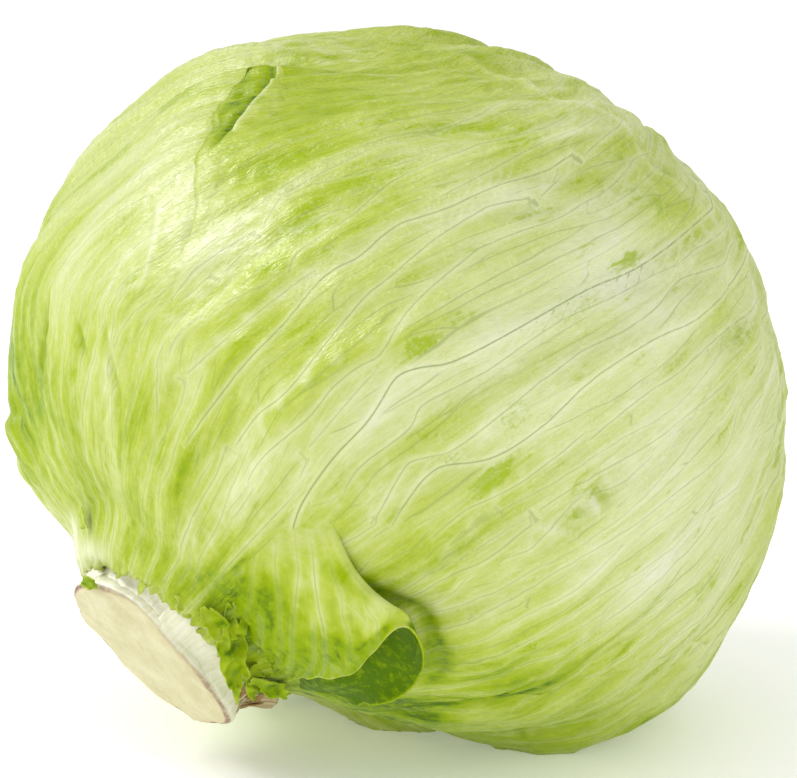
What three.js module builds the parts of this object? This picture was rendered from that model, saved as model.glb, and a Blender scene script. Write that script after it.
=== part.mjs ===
// A crisphead (iceberg) lettuce, lying on its side with the cut stem low at the front left.
// Millimetres, +Z up, origin on the ground below the middle of the head.
// Wrapper leaves are cupped shells that fan out from the stem and overlap, heart leaves are
// smaller shells nested inside them, and the stem runs in as a tapering core.
import * as THREE from 'three';

// Head: a slightly flattened globe about the stem axis
const headCentre = new THREE.Vector3(0.43, -1.43, 72.4);
const stemDirection = new THREE.Vector3(-0.649, -0.461, -0.605).normalize();
const faceDirection = new THREE.Vector3(0.224, -0.875, 0.429);
const girthRadius = 82.4;
const axialRadius = 72.6;
const groundBlend = 3.0;
const groundSettle = 0.7;
const undersideStart = -0.05;

// Swells and hollows of the head: where each is centred, its height and its angular spread
const swells = [
  { name: 'crown', towards: [-0.035, -0.208, 0.977], height: -9.6, spread: 24 },
  { name: 'rightShoulder', towards: [0.966, -0.054, 0.253], height: 1.4, spread: 24 },
  { name: 'upperLeftFlat', towards: [-0.731, -0.142, 0.667], height: -5.5, spread: 15 },
  { name: 'leftShoulder', towards: [-0.94, -0.071, 0.335], height: 2.3, spread: 24 },
  { name: 'leftCheek', towards: [-0.978, 0.043, -0.203], height: 1.8, spread: 16 },
  { name: 'stemHollow', towards: [-0.12, -0.23, -0.966], height: -11.6, spread: 23 },
  { name: 'lowerRightSwell', towards: [0.66, 0.1, -0.744], height: 7.6, spread: 25 },
  { name: 'rightHollow', towards: [0.84, -0.1, -0.53], height: -2.0, spread: 18 },
  { name: 'backSwell', towards: [0.35, 0.93, -0.12], height: 5.0, spread: 44 },
  { name: 'restingSwell', towards: [0.0, 0.04, -1.0], height: 5.5, spread: 14 },
];

// Leaves
const wrapperThickness = 0.8;
const wrapperGap = 1.9;
const coverFade = 26.0;
const shoulderDrop = 7.0;
const shoulderSpread = 19.0;
const wrapperGrid = { across: 16, along: 16 };
const tipRounding = { square: 0.2, fourth: 0.14 };
const oppositeLimit = -0.98;
const heartThickness = 1.6;
const heartGrid = { across: 9, along: 11 };

// Wrapper leaves, outermost first: the side of the stem that each grows from, half the angle
// of its fan, and where its middle, base and tip lie, in degrees from the stem
const wrapperLeaves = [
  { name: 'front_leaf', side: -11, midAngle: 84, halfFan: 33, base: 18, tip: 188 },
  { name: 'under_leaf', side: -112, midAngle: 82, halfFan: 45, base: 17.5, tip: 180 },
  { name: 'left_leaf', side: 104, midAngle: 84, halfFan: 42, base: 17.5, tip: 184 },
  { name: 'back_leaf', side: 176, midAngle: 80, halfFan: 48, base: 17.5, tip: 172 },
  { name: 'upper_leaf', side: 48, midAngle: 88, halfFan: 44, base: 17.5, tip: 186 },
  { name: 'lower_leaf', side: -62, midAngle: 84, halfFan: 46, base: 17.5, tip: 180 },
];

// Heart leaves: each is the head's shape at a smaller scale, turned on by the leaf spiral
const heartLeafCount = 8;
const heartScaleFirst = 0.79;
const heartScaleStep = 0.05;
const leafSpiralAngle = 137.5;
const heartSideFirst = 20;
const heartFan = { midAngle: 86, halfFan: 62, base: 19, tip: 190 };
const heartRadiusScale = 0.37;
const heartSegments = { around: 24, up: 16 };

// Stem: the cut butt outside and the tapering core inside, as radius at a distance along it
const stemProfile = [
  [34.0, 4.5],
  [46.0, 9.0],
  [60.0, 15.0],
  [68.0, 17.6],
  [74.0, 18.4],
  [80.2, 19.0],
  [81.0, 18.4],
];
const stemSides = 40;
const stemOval = 0.94;

// Trimmed leaf bases left around the neck of the stem
const leafBases = [
  { name: 'leaf_base_1', side: -30, halfWidth: 30, from: 68.6, to: 77.5 },
  { name: 'leaf_base_2', side: 52, halfWidth: 27, from: 68.6, to: 76.5 },
  { name: 'leaf_base_3', side: 128, halfWidth: 30, from: 68.6, to: 75.5 },
  { name: 'leaf_base_4', side: -118, halfWidth: 32, from: 68.6, to: 75.0 },
];
const leafBaseInner = 19.6;
const leafBaseThickness = 1.6;
const leafBaseTipShare = 0.45;
const leafBaseFlare = 1.6;
const leafBaseGrid = { across: 10, along: 4 };

const paleLeaf = { color: 0xd6e3a2, roughness: 0.42, metalness: 0.0 };
const greenLeaf = { color: 0xb4cb6a, roughness: 0.45, metalness: 0.0 };
const heartLeaf = { color: 0xeef0bf, roughness: 0.45, metalness: 0.0 };
const stemFlesh = { color: 0xe4deaf, roughness: 0.6, metalness: 0.0 };
const leafBaseFlesh = { color: 0xeeecd0, roughness: 0.5, metalness: 0.0 };

// Second and third axes of the head: out of its face, and from there round the stem
const faceAxis = faceDirection.clone()
  .addScaledVector(stemDirection, -faceDirection.dot(stemDirection))
  .normalize();
const turnAxis = new THREE.Vector3().crossVectors(stemDirection, faceAxis);
for (const swell of swells) {
  swell.axis = new THREE.Vector3(...swell.towards).normalize();
}

function degreesBetween(a, b) {
  return THREE.MathUtils.radToDeg(a.angleTo(b));
}

function headDirection(polar, side) {
  const p = THREE.MathUtils.degToRad(polar);
  const s = THREE.MathUtils.degToRad(side);
  return new THREE.Vector3()
    .addScaledVector(stemDirection, Math.cos(p))
    .addScaledVector(faceAxis, Math.sin(p) * Math.cos(s))
    .addScaledVector(turnAxis, Math.sin(p) * Math.sin(s));
}

// Distance from the head's centre to its outside, with the underside flat on the ground
function headRadius(direction) {
  const along = direction.dot(stemDirection);
  let radius = 1 / Math.sqrt((1 - along * along) / girthRadius ** 2 + (along / axialRadius) ** 2);
  for (const swell of swells) {
    radius += swell.height * Math.exp(-((degreesBetween(direction, swell.axis) / swell.spread) ** 2));
  }
  const polar = degreesBetween(direction, stemDirection);
  radius -= shoulderDrop * Math.exp(-((polar / shoulderSpread) ** 2));
  if (direction.z > undersideStart) {
    return radius;
  }
  const ground = headCentre.z / -direction.z;
  const share = THREE.MathUtils.clamp(0.5 + (0.5 * (ground - radius)) / groundBlend, 0, 1);
  return ground + (radius - ground) * share - groundBlend * share * (1 - share);
}

// A leaf's own flat map of the head: stereographic about the middle of the leaf, in which the
// leaf is a fan of straight lines from the stem
function leafMap(leaf) {
  const middle = headDirection(leaf.midAngle, leaf.side);
  const outward = headDirection(leaf.midAngle + 90, leaf.side);
  const sideways = new THREE.Vector3().crossVectors(stemDirection, headDirection(90, leaf.side));
  const stemReach = flatReach(leaf.midAngle);
  const baseReach = stemReach - flatReach(leaf.midAngle - leaf.base);
  const longestReach = stemReach + flatReach(leaf.tip - leaf.midAngle);
  return { middle, outward, sideways, stemReach, baseReach, longestReach };
}

function flatReach(degrees) {
  return 2 * Math.tan(THREE.MathUtils.degToRad(degrees) / 2);
}

// The leaf's outline is longest in its middle and rounds off to its sides
function tipReach(map, u) {
  return map.longestReach * (1 - tipRounding.square * u ** 2 - tipRounding.fourth * u ** 4);
}

// u runs across the leaf from -1 to 1, v from 0 at the base to 1 at the tip
function leafDirection(leaf, map, u, v) {
  const fan = THREE.MathUtils.degToRad(leaf.halfFan * u);
  const baseAngle = 2 * Math.atan((map.baseReach - map.stemReach) / 2);
  const tipAngle = 2 * Math.atan((tipReach(map, u) - map.stemReach) / 2);
  const reach = map.stemReach + 2 * Math.tan((baseAngle + (tipAngle - baseAngle) * v) / 2);
  const x = reach * Math.sin(fan);
  const y = reach * Math.cos(fan) - map.stemReach;
  const flat = Math.hypot(x, y);
  const angle = 2 * Math.atan(flat / 2);
  const slope = flat > 1e-9 ? Math.sin(angle) / flat : 1;
  return new THREE.Vector3()
    .addScaledVector(map.middle, Math.cos(angle))
    .addScaledVector(map.sideways, slope * x)
    .addScaledVector(map.outward, slope * y)
    .normalize();
}

// How far a leaf covers a direction: 1 on the leaf, fading to 0 beyond its edge
function leafCover(leaf, map, direction) {
  const facing = direction.dot(map.middle);
  if (facing < oppositeLimit) {
    return 0;
  }
  const x = (2 * direction.dot(map.sideways)) / (1 + facing);
  const y = (2 * direction.dot(map.outward)) / (1 + facing) + map.stemReach;
  const scale = THREE.MathUtils.radToDeg(0.5 * (1 + facing));
  const reach = Math.hypot(x, y);
  const fan = Math.atan2(x, y);
  const halfFan = THREE.MathUtils.degToRad(leaf.halfFan);
  const u = THREE.MathUtils.clamp(fan / halfFan, -1, 1);
  const pastSide = Math.max(0, Math.abs(fan) - halfFan) * reach;
  const pastEnds = Math.max(0, reach - tipReach(map, u), map.baseReach - reach);
  const outside = Math.hypot(pastSide, pastEnds) * scale;
  return 1 - THREE.MathUtils.smoothstep(outside, 0, coverFade);
}

// Closed shell between two surfaces given on the same grid
function shellGeometry(grid, outerPoint, innerPoint) {
  const columns = grid.across + 1;
  const rows = grid.along + 1;
  const positions = [];
  for (const surfacePoint of [outerPoint, innerPoint]) {
    for (let row = 0; row < rows; row += 1) {
      for (let column = 0; column < columns; column += 1) {
        const point = surfacePoint(-1 + (2 * column) / grid.across, row / grid.along);
        positions.push(point.x, point.y, point.z);
      }
    }
  }
  const layer = columns * rows;
  const index = [];
  const addQuad = (a, b, c, d) => index.push(a, c, b, a, d, c);
  for (let row = 0; row < grid.along; row += 1) {
    for (let column = 0; column < grid.across; column += 1) {
      const a = row * columns + column;
      addQuad(a, a + 1, a + 1 + columns, a + columns);
      addQuad(layer + a, layer + a + columns, layer + a + 1 + columns, layer + a + 1);
    }
  }
  const rim = [];
  for (let column = 0; column < grid.across; column += 1) {
    rim.push(column);
  }
  for (let row = 0; row < grid.along; row += 1) {
    rim.push(row * columns + grid.across);
  }
  for (let column = grid.across; column > 0; column -= 1) {
    rim.push(grid.along * columns + column);
  }
  for (let row = grid.along; row > 0; row -= 1) {
    rim.push(row * columns);
  }
  rim.forEach((vertex, step) => {
    const next = rim[(step + 1) % rim.length];
    addQuad(vertex, layer + vertex, layer + next, next);
  });
  const geometry = new THREE.BufferGeometry();
  geometry.setAttribute('position', new THREE.Float32BufferAttribute(positions, 3));
  geometry.setIndex(index);
  geometry.computeVertexNormals();
  return geometry;
}

function headPoint(direction, radius) {
  return headCentre.clone().addScaledVector(direction, radius);
}

// The underside settles on to the ground where it is all but touching
function settled(point) {
  if (point.z < groundSettle) {
    point.z = 0;
  }
  return point;
}

// A wrapper leaf lies on the head's outside and sinks below the leaves that cover it
function wrapperGeometry(leaf, coveringLeaves) {
  const map = leafMap(leaf);
  const depth = (direction) => {
    let covers = 0;
    for (const other of coveringLeaves) {
      covers += leafCover(other, leafMap(other), direction);
    }
    return covers * (wrapperThickness + wrapperGap);
  };
  const surface = (sink) => (u, v) => {
    const direction = leafDirection(leaf, map, u, v);
    return settled(headPoint(direction, headRadius(direction) - depth(direction) - sink));
  };
  return shellGeometry(wrapperGrid, surface(0), surface(wrapperThickness));
}

function heartLeafGeometry(leaf, scale) {
  const map = leafMap(leaf);
  const surface = (sink) => (u, v) => {
    const direction = leafDirection(leaf, map, u, v);
    return headPoint(direction, headRadius(direction) * scale - sink);
  };
  return shellGeometry(heartGrid, surface(0), surface(heartThickness));
}

function heartGeometry() {
  const geometry = new THREE.SphereGeometry(1, heartSegments.around, heartSegments.up);
  const position = geometry.getAttribute('position');
  const point = new THREE.Vector3();
  for (let i = 0; i < position.count; i += 1) {
    point.fromBufferAttribute(position, i).normalize();
    const radius = headRadius(point) * heartRadiusScale;
    position.setXYZ(i, ...headPoint(point, radius));
  }
  geometry.computeVertexNormals();
  return geometry;
}

function stemGeometry() {
  const outline = stemProfile.map(([along, radius]) => new THREE.Vector2(radius, along));
  outline.unshift(new THREE.Vector2(0, stemProfile[0][0]));
  outline.push(new THREE.Vector2(0, stemProfile[stemProfile.length - 1][0]));
  const geometry = new THREE.LatheGeometry(outline, stemSides);
  geometry.scale(stemOval, 1, 1);
  const placing = new THREE.Matrix4().makeBasis(faceAxis, stemDirection, turnAxis.clone().negate());
  placing.setPosition(headCentre);
  geometry.applyMatrix4(placing);
  return geometry;
}

// A curved plate that hugs the stem between two distances along it
function leafBaseGeometry(base) {
  const surface = (radius) => (u, v) => {
    const taper = leafBaseTipShare + (1 - leafBaseTipShare) * v;
    const side = THREE.MathUtils.degToRad(base.side + base.halfWidth * u * taper);
    const along = base.to + (base.from - base.to) * v;
    const radial = radius + leafBaseFlare * v;
    return headCentre.clone()
      .addScaledVector(stemDirection, along)
      .addScaledVector(faceAxis, radial * Math.cos(side))
      .addScaledVector(turnAxis, radial * Math.sin(side));
  };
  return shellGeometry(leafBaseGrid, surface(leafBaseInner + leafBaseThickness), surface(leafBaseInner));
}

const lettuce = new THREE.Group();

function addPiece(name, geometry, finish) {
  const mesh = new THREE.Mesh(geometry, new THREE.MeshStandardMaterial(finish));
  mesh.name = name;
  lettuce.add(mesh);
}

wrapperLeaves.forEach((leaf, order) => {
  const finish = order < 3 ? paleLeaf : greenLeaf;
  addPiece(leaf.name, wrapperGeometry(leaf, wrapperLeaves.slice(0, order)), finish);
});
for (let i = 0; i < heartLeafCount; i += 1) {
  const leaf = { ...heartFan, side: heartSideFirst + i * leafSpiralAngle };
  const scale = heartScaleFirst - i * heartScaleStep;
  addPiece(`heart_leaf_${i + 1}`, heartLeafGeometry(leaf, scale), heartLeaf);
}
addPiece('heart', heartGeometry(), heartLeaf);
addPiece('core_stem', stemGeometry(), stemFlesh);
for (const base of leafBases) {
  addPiece(base.name, leafBaseGeometry(base), leafBaseFlesh);
}

export default lettuce;
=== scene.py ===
import math

import bpy
import numpy as np
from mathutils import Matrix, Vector, kdtree


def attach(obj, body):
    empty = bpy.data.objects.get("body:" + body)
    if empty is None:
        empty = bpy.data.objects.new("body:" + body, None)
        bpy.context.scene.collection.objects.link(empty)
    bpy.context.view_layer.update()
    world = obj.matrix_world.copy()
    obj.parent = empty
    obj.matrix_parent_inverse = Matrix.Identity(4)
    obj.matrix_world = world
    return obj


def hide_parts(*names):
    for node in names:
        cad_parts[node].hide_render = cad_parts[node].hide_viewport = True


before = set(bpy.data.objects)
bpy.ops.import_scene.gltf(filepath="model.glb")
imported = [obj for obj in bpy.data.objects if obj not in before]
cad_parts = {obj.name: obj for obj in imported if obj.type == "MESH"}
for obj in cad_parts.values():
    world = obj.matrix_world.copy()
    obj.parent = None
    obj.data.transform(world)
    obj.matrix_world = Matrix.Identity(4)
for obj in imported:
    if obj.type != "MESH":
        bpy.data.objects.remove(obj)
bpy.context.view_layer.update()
mm = 0.001

# The head: a slightly flattened globe about the stem axis, with swells and a flat underside, in mm
headShape = {
    "centre": (0.43, -1.43, 72.4),
    "stem": (-0.649, -0.461, -0.605),
    "face": (0.224, -0.875, 0.429),
    "girth": 82.4,
    "axial": 72.6,
    "groundBlend": 3.0,
    "groundSettle": 0.7,
    "shoulderDrop": 7.0,
    "shoulderSpread": 19.0,
    "swells": (  # towards, height, spread in degrees
        ((-0.035, -0.208, 0.977), -9.6, 24),
        ((0.966, -0.054, 0.253), 1.4, 24),
        ((-0.731, -0.142, 0.667), -5.5, 15),
        ((-0.94, -0.071, 0.335), 2.3, 24),
        ((-0.978, 0.043, -0.203), 1.8, 16),
        ((-0.12, -0.23, -0.966), -11.6, 23),
        ((0.66, 0.1, -0.744), 7.6, 25),
        ((0.84, -0.1, -0.53), -2.0, 18),
        ((0.35, 0.93, -0.12), 5.0, 44),
        ((0.0, 0.04, -1.0), 5.5, 14),
    ),
}
ballRadius = 80.0  # the round head that lengths along the surface are measured on, in mm
collar = {"rise": 6.5, "edge": 15.6, "foot": 26.0}  # leaf bases stand up round the stem, in mm and degrees


def unit(vector):
    vector = np.asarray(vector, float)
    return vector / np.linalg.norm(vector, axis=-1, keepdims=True)


headCentre = np.array(headShape["centre"])
stemAxis = unit(headShape["stem"])
faceAxis = unit(np.array(headShape["face"]) - stemAxis * np.dot(headShape["face"], stemAxis))
turnAxis = np.cross(stemAxis, faceAxis)


def degreesFrom(directions, axis):
    return np.degrees(np.arccos(np.clip(directions @ axis, -1, 1)))


# Places on the head are given as polar, the degrees from the stem, and side, the degrees round it
def headDirection(polar, side):
    p, s = np.radians(np.asarray(polar, float))[..., None], np.radians(np.asarray(side, float))[..., None]
    return np.cos(p) * stemAxis + np.sin(p) * (np.cos(s) * faceAxis + np.sin(s) * turnAxis)


def polarAndSide(directions):
    side = np.degrees(np.arctan2(directions @ turnAxis, directions @ faceAxis))
    return degreesFrom(directions, stemAxis), side


def sideFrom(side, middle):
    return (side - middle + 180) % 360 - 180


# Places on the stem: along it from the head's centre, out from its axis, and side
def stemPlace(along, radius, side):
    s = np.radians(side)
    outward = np.multiply.outer(radius * np.cos(s), faceAxis)
    outward += np.multiply.outer(radius * np.sin(s), turnAxis)
    return headCentre + np.multiply.outer(along, stemAxis) + outward


def headRadius(directions):
    along = directions @ stemAxis
    radius = 1 / np.sqrt((1 - along**2) / headShape["girth"] ** 2 + (along / headShape["axial"]) ** 2)
    for towards, height, spread in headShape["swells"]:
        radius = radius + height * np.exp(-((degreesFrom(directions, unit(towards)) / spread) ** 2))
    shoulder = np.exp(-((degreesFrom(directions, stemAxis) / headShape["shoulderSpread"]) ** 2))
    radius = radius - headShape["shoulderDrop"] * shoulder
    ground = headCentre[2] / np.maximum(-directions[..., 2], 0.05)
    blend = headShape["groundBlend"]
    share = np.clip(0.5 + 0.5 * (ground - radius) / blend, 0, 1)
    settled = ground + (radius - ground) * share - blend * share * (1 - share)
    return np.where(directions[..., 2] < -0.05, settled, radius)


def onGround(points):
    points[:, 2] = np.where(points[:, 2] < headShape["groundSettle"], 0, points[:, 2])
    return points


def smoothStep(value, low, high):
    t = np.clip((value - low) / (high - low), 0, 1)
    return t * t * (3 - 2 * t)


def hill(distance, width):
    return np.exp(-((distance / width) ** 2))


# Soft random waves in space, with wavelengths between low and high mm; the spread of values is about 1
def waves(points, seed, low, high, count=44):
    rng = np.random.default_rng(seed)
    heading = unit(rng.normal(size=(count, 3)))
    pitch = 2 * np.pi / (low * (high / low) ** rng.random(count))
    phase = 2 * np.pi * rng.random(count)
    total = np.zeros(len(points))
    for i in range(count):
        total += np.cos(points @ (heading[i] * pitch[i]) + phase[i])
    return total * math.sqrt(2 / count)


# The same waves drawn out along the lines that run from the stem, over reach mm each way
def streaks(polar, side, seed, low, high, reach, samples=9):
    shifts = np.linspace(-1, 1, samples)
    shares = np.cos(shifts * 1.3)
    total = 0
    for shift, share in zip(shifts, shares):
        moved = polar + np.degrees(shift * reach / ballRadius)
        total = total + share * waves(headDirection(moved, side) * ballRadius, seed, low, high, 26)
    return total / math.sqrt((shares**2).sum())


# A leaf's flat map: stereographic about its middle, in which the leaf fans out from the stem in
# straight lines, told by fan, the angle from its middle line, and reach, the length along the line
def fanMap(side, middle):
    return {
        "middle": headDirection(middle, side),
        "outward": headDirection(middle + 90, side),
        "sideways": np.cross(stemAxis, headDirection(90, side)),
        "stemReach": flatReach(middle),
    }


def flatReach(degrees):
    return 2 * math.tan(math.radians(degrees) / 2)


def toFan(flat, directions):
    spread = 2 / (1 + np.maximum(directions @ flat["middle"], -0.96))
    x = spread * (directions @ flat["sideways"])
    y = spread * (directions @ flat["outward"]) + flat["stemReach"]
    return np.arctan2(x, y), np.hypot(x, y), ballRadius / spread


def fromFan(flat, fan, reach):
    x = reach * np.sin(fan)
    y = reach * np.cos(fan) - flat["stemReach"]
    length = np.maximum(np.hypot(x, y), 1e-9)
    angle = 2 * np.arctan(length / 2)
    slope = np.sin(angle) / length
    middle = np.multiply.outer(np.cos(angle), flat["middle"])
    sideways = np.multiply.outer(slope * x, flat["sideways"])
    return middle + sideways + np.multiply.outer(slope * y, flat["outward"])


# Veins and streaks draw together towards the front leaf's middle line as they leave the stem.
# A line of the flow keeps the side that it starts from, and middle is where the middle line has got to
flowBend = {
    "start": 58.0, "rate": 0.01, "most": 52.0, "free": 60.0, "end": 172.0,
    "drift": ((60, 0), (78, -4), (135, -22)),
}


def flowMiddle(polar):
    places, sides = zip(*flowBend["drift"])
    return np.interp(polar, places, sides)


def flowGain(polar, offset):
    gathered = np.exp(flowBend["rate"] * np.clip(polar - flowBend["start"], 0, flowBend["most"])) - 1
    return 1 + gathered * (1 - smoothStep(np.abs(offset), flowBend["free"], flowBend["end"]))


def startSide(polar, side):
    offset = (side - flowMiddle(polar) + 180) % 360 - 180
    return offset * flowGain(polar, offset)


def flowSide(polar, start):
    wanted = (np.asarray(start) + 180) % 360 - 180
    offset = wanted
    for _ in range(24):
        offset = 0.5 * (offset + wanted / flowGain(polar, offset))
    return offset + flowMiddle(polar)


# From where a thing is to where it would be if the flow ran straight from the stem, and back
def straightened(directions):
    polar, side = polarAndSide(directions)
    return headDirection(polar, startSide(polar, side))


def bent(directions):
    polar, side = polarAndSide(directions)
    return headDirection(polar, flowSide(polar, side))


# How much each of count points pulls on a smooth curve through them, at places along it
def splineWeights(places, count):
    start = np.clip(np.floor(places).astype(int), 0, count - 2)
    t = places - start
    pulls = ((1 - t) ** 3, 3 * t**3 - 6 * t**2 + 4, -3 * t**3 + 3 * t**2 + 3 * t + 1, t**3)
    loose = np.zeros((len(places), count + 2))
    for k, pull in enumerate(pulls):
        loose[np.arange(len(places)), start + k] += pull / 6
    weights = loose[:, 1:-1].copy()
    for end, beyond, step in ((0, 0, 1), (-1, -1, -1)):
        weights[:, end] += 2 * loose[:, beyond]
        weights[:, end + step] -= loose[:, beyond]
    knots = (4 * np.eye(count) + np.eye(count, k=1) + np.eye(count, k=-1)) / 6
    knots[0], knots[-1] = np.eye(count)[0], np.eye(count)[-1]
    return weights @ np.linalg.inv(knots)


def curveThrough(points, count):
    points = np.asarray(points, float)
    return splineWeights(np.linspace(0, len(points) - 1, count), len(points)) @ points


def netSurface(net, across, along):
    rows, columns = splineWeights(along, net.shape[0]), splineWeights(across, net.shape[1])
    return np.einsum("ni,nj,ijk->nk", rows, columns, net)


# Veins run out from the stem, fork where they draw apart and join where they meet.
# place(across, along) gives points in mm, and veins walk along it side by side
veinHabit = {
    "step": 0.6,
    "splitGap": (5.0, 9.5),
    "joinGap": 1.7,
    "turn": 0.13,
    "ease": 0.3,  # how fast a vein bends to its new heading
    "hold": (4.0, 13.0),
    "fork": (0.42, 0.6),
    "forkHold": (2.4, 4.5),
    "fade": 0.001,
    "childStrength": 0.86,
    "giveWay": (1.5, 2.6),  # a vein ends this near a stronger one
    "newborn": 14.0,  # a fork this young in mm doesn't join its neighbours
}


def growVeins(place, first, last, starts, seed, mainVeins=(), splitScale=1.0):
    rng = np.random.default_rng(seed)
    habit = veinHabit

    def sprout(across, strength, heading=0.0, guide=None):
        hold = rng.uniform(*habit["hold"]) if heading == 0 else rng.uniform(*habit["forkHold"])
        split = rng.uniform(*habit["splitGap"]) * splitScale
        return {"across": across, "slope": heading, "heading": heading, "strength": strength, "hold": hold,
                "age": 0.0, "split": split, "guide": guide, "points": [], "strengths": [], "sides": []}

    live = [sprout(a, rng.uniform(0.5, 1.0)) for a in starts]
    for vein in live:
        vein["age"] = habit["newborn"]
    waiting = sorted(mainVeins, key=lambda vein: vein["along"][0])
    finished = []
    along = first
    while along < last:
        while waiting and waiting[0]["along"][0] <= along:
            guide = waiting.pop(0)
            live.append(sprout(guide["across"][0], guide["strength"], 0.0, guide))
        live.sort(key=lambda vein: vein["across"])
        across = np.array([vein["across"] for vein in live])
        here = place(across, np.full(len(live), along))
        width = (place(across + 1e-3, np.full(len(live), along)) - here) / 1e-3
        wide = np.linalg.norm(width, axis=1)
        ahead = np.linalg.norm(place(across, np.full(len(live), along + 1e-3)) - here, axis=1) / 1e-3
        gaps = np.linalg.norm(here[1:] - here[:-1], axis=1)
        gone, born = set(), []
        for i, vein in enumerate(live):
            vein["points"].append(here[i])
            vein["sides"].append(width[i] / wide[i])
            vein["strengths"].append(vein["strength"] * (0.6 + 0.4 * smoothStep(vein["age"], 0, 4)))
        for i, gap in enumerate(gaps):
            left, right = live[i], live[i + 1]
            if i in gone or i + 1 in gone:
                continue
            young = min(left["age"], right["age"]) < habit["newborn"]
            guided = left["guide"] is not None or right["guide"] is not None
            if gap < habit["joinGap"] and (guided or not young):
                leftGoes = right["guide"] is not None or left["strength"] < right["strength"]
                weaker, other = (i, i + 1) if leftGoes and left["guide"] is None else (i + 1, i)
                if live[weaker]["guide"] is None:
                    vein = live[weaker]
                    for share in (0.35, 0.75, 1.0):
                        vein["points"].append(here[weaker] + (here[other] - here[weaker]) * share)
                        vein["sides"].append(vein["sides"][-1])
                        vein["strengths"].append(vein["strengths"][-1])
                    gone.add(weaker)
            elif gap > min(left["split"], right["split"]):
                fromLeft = left["strength"] * rng.uniform(0.5, 1.5) > right["strength"]
                parent = left if fromLeft else right
                turn = rng.uniform(*habit["fork"]) * (1 if fromLeft else -1)
                strength = parent["strength"] * habit["childStrength"]
                child = sprout(parent["across"] + 1e-4 * turn, strength, turn)
                parent["heading"] -= 0.25 * turn
                for vein in (left, right):
                    vein["split"] = rng.uniform(*habit["splitGap"]) * splitScale + 1.5
                born.append(child)
        along += habit["step"] / float(np.median(ahead))
        for i, vein in enumerate(live):
            vein["age"] += habit["step"]
            vein["hold"] -= habit["step"]
            vein["strength"] *= 1 - habit["fade"] * habit["step"]
            guide = vein["guide"]
            if guide is not None and along <= guide["along"][-1]:
                vein["across"] = float(np.interp(along, guide["along"], guide["across"]))
                continue
            vein["guide"] = None
            if vein["hold"] <= 0:
                leftGap = gaps[i - 1] if i > 0 else 8.0
                rightGap = gaps[i] if i < len(gaps) else 8.0
                centring = 0.14 * (rightGap - leftGap) / (rightGap + leftGap + 1)
                vein["heading"] = rng.normal() * habit["turn"] + centring
                vein["hold"] = rng.uniform(*habit["hold"])
            vein["slope"] += (vein["heading"] - vein["slope"]) * habit["ease"]
            vein["across"] += vein["slope"] * habit["step"] / wide[i]
        for i in sorted(gone, reverse=True):
            finished.append(live.pop(i))
        live += born
    return [vein for vein in finished + live if len(vein["points"]) > 6]


# For each point: signed mm to the nearest vein, plain mm to it, and that vein's strength. Close to a
# stronger vein the weaker one gives way
def nearestVein(veins, points):
    spots, tangents, sides, strengths, owners = [], [], [], [], []
    for i, vein in enumerate(veins):
        path = np.array(vein["points"])
        owners.append(np.full(len(path), i))
        tangents.append(unit(np.gradient(path, axis=0) + 1e-9))
        spots.append(path)
        sides.append(np.array(vein["sides"]))
        strengths.append(np.array(vein["strengths"]))
    spots, tangents, sides = np.concatenate(spots), np.concatenate(tangents), np.concatenate(sides)
    strengths, owners = np.concatenate(strengths), np.concatenate(owners)
    sides = unit(sides - tangents * (sides * tangents).sum(1, keepdims=True))
    tree = kdtree.KDTree(len(spots))
    for i, spot in enumerate(spots):
        tree.insert(spot, i)
    tree.balance()
    found = np.zeros(len(points), int)
    fade = np.ones(len(points))
    low, high = veinHabit["giveWay"]
    for i, point in enumerate(points):
        close = tree.find_n(point, 20)
        found[i] = close[0][1]
        for _, spot, distance in close:
            if owners[spot] != owners[found[i]] and strengths[spot] > strengths[found[i]] * 1.02:
                if distance < low:
                    found[i] = spot
                else:
                    fade[i] = min(fade[i], smoothStep(distance, low, high))
    offset = points - spots[found]
    signed = (offset * sides[found]).sum(1)
    alongVein = (offset * tangents[found]).sum(1)
    plain = np.linalg.norm(offset - tangents[found] * np.clip(alongVein, -0.4, 0.4)[:, None], axis=1)
    return signed, plain, strengths[found] * fade


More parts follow.
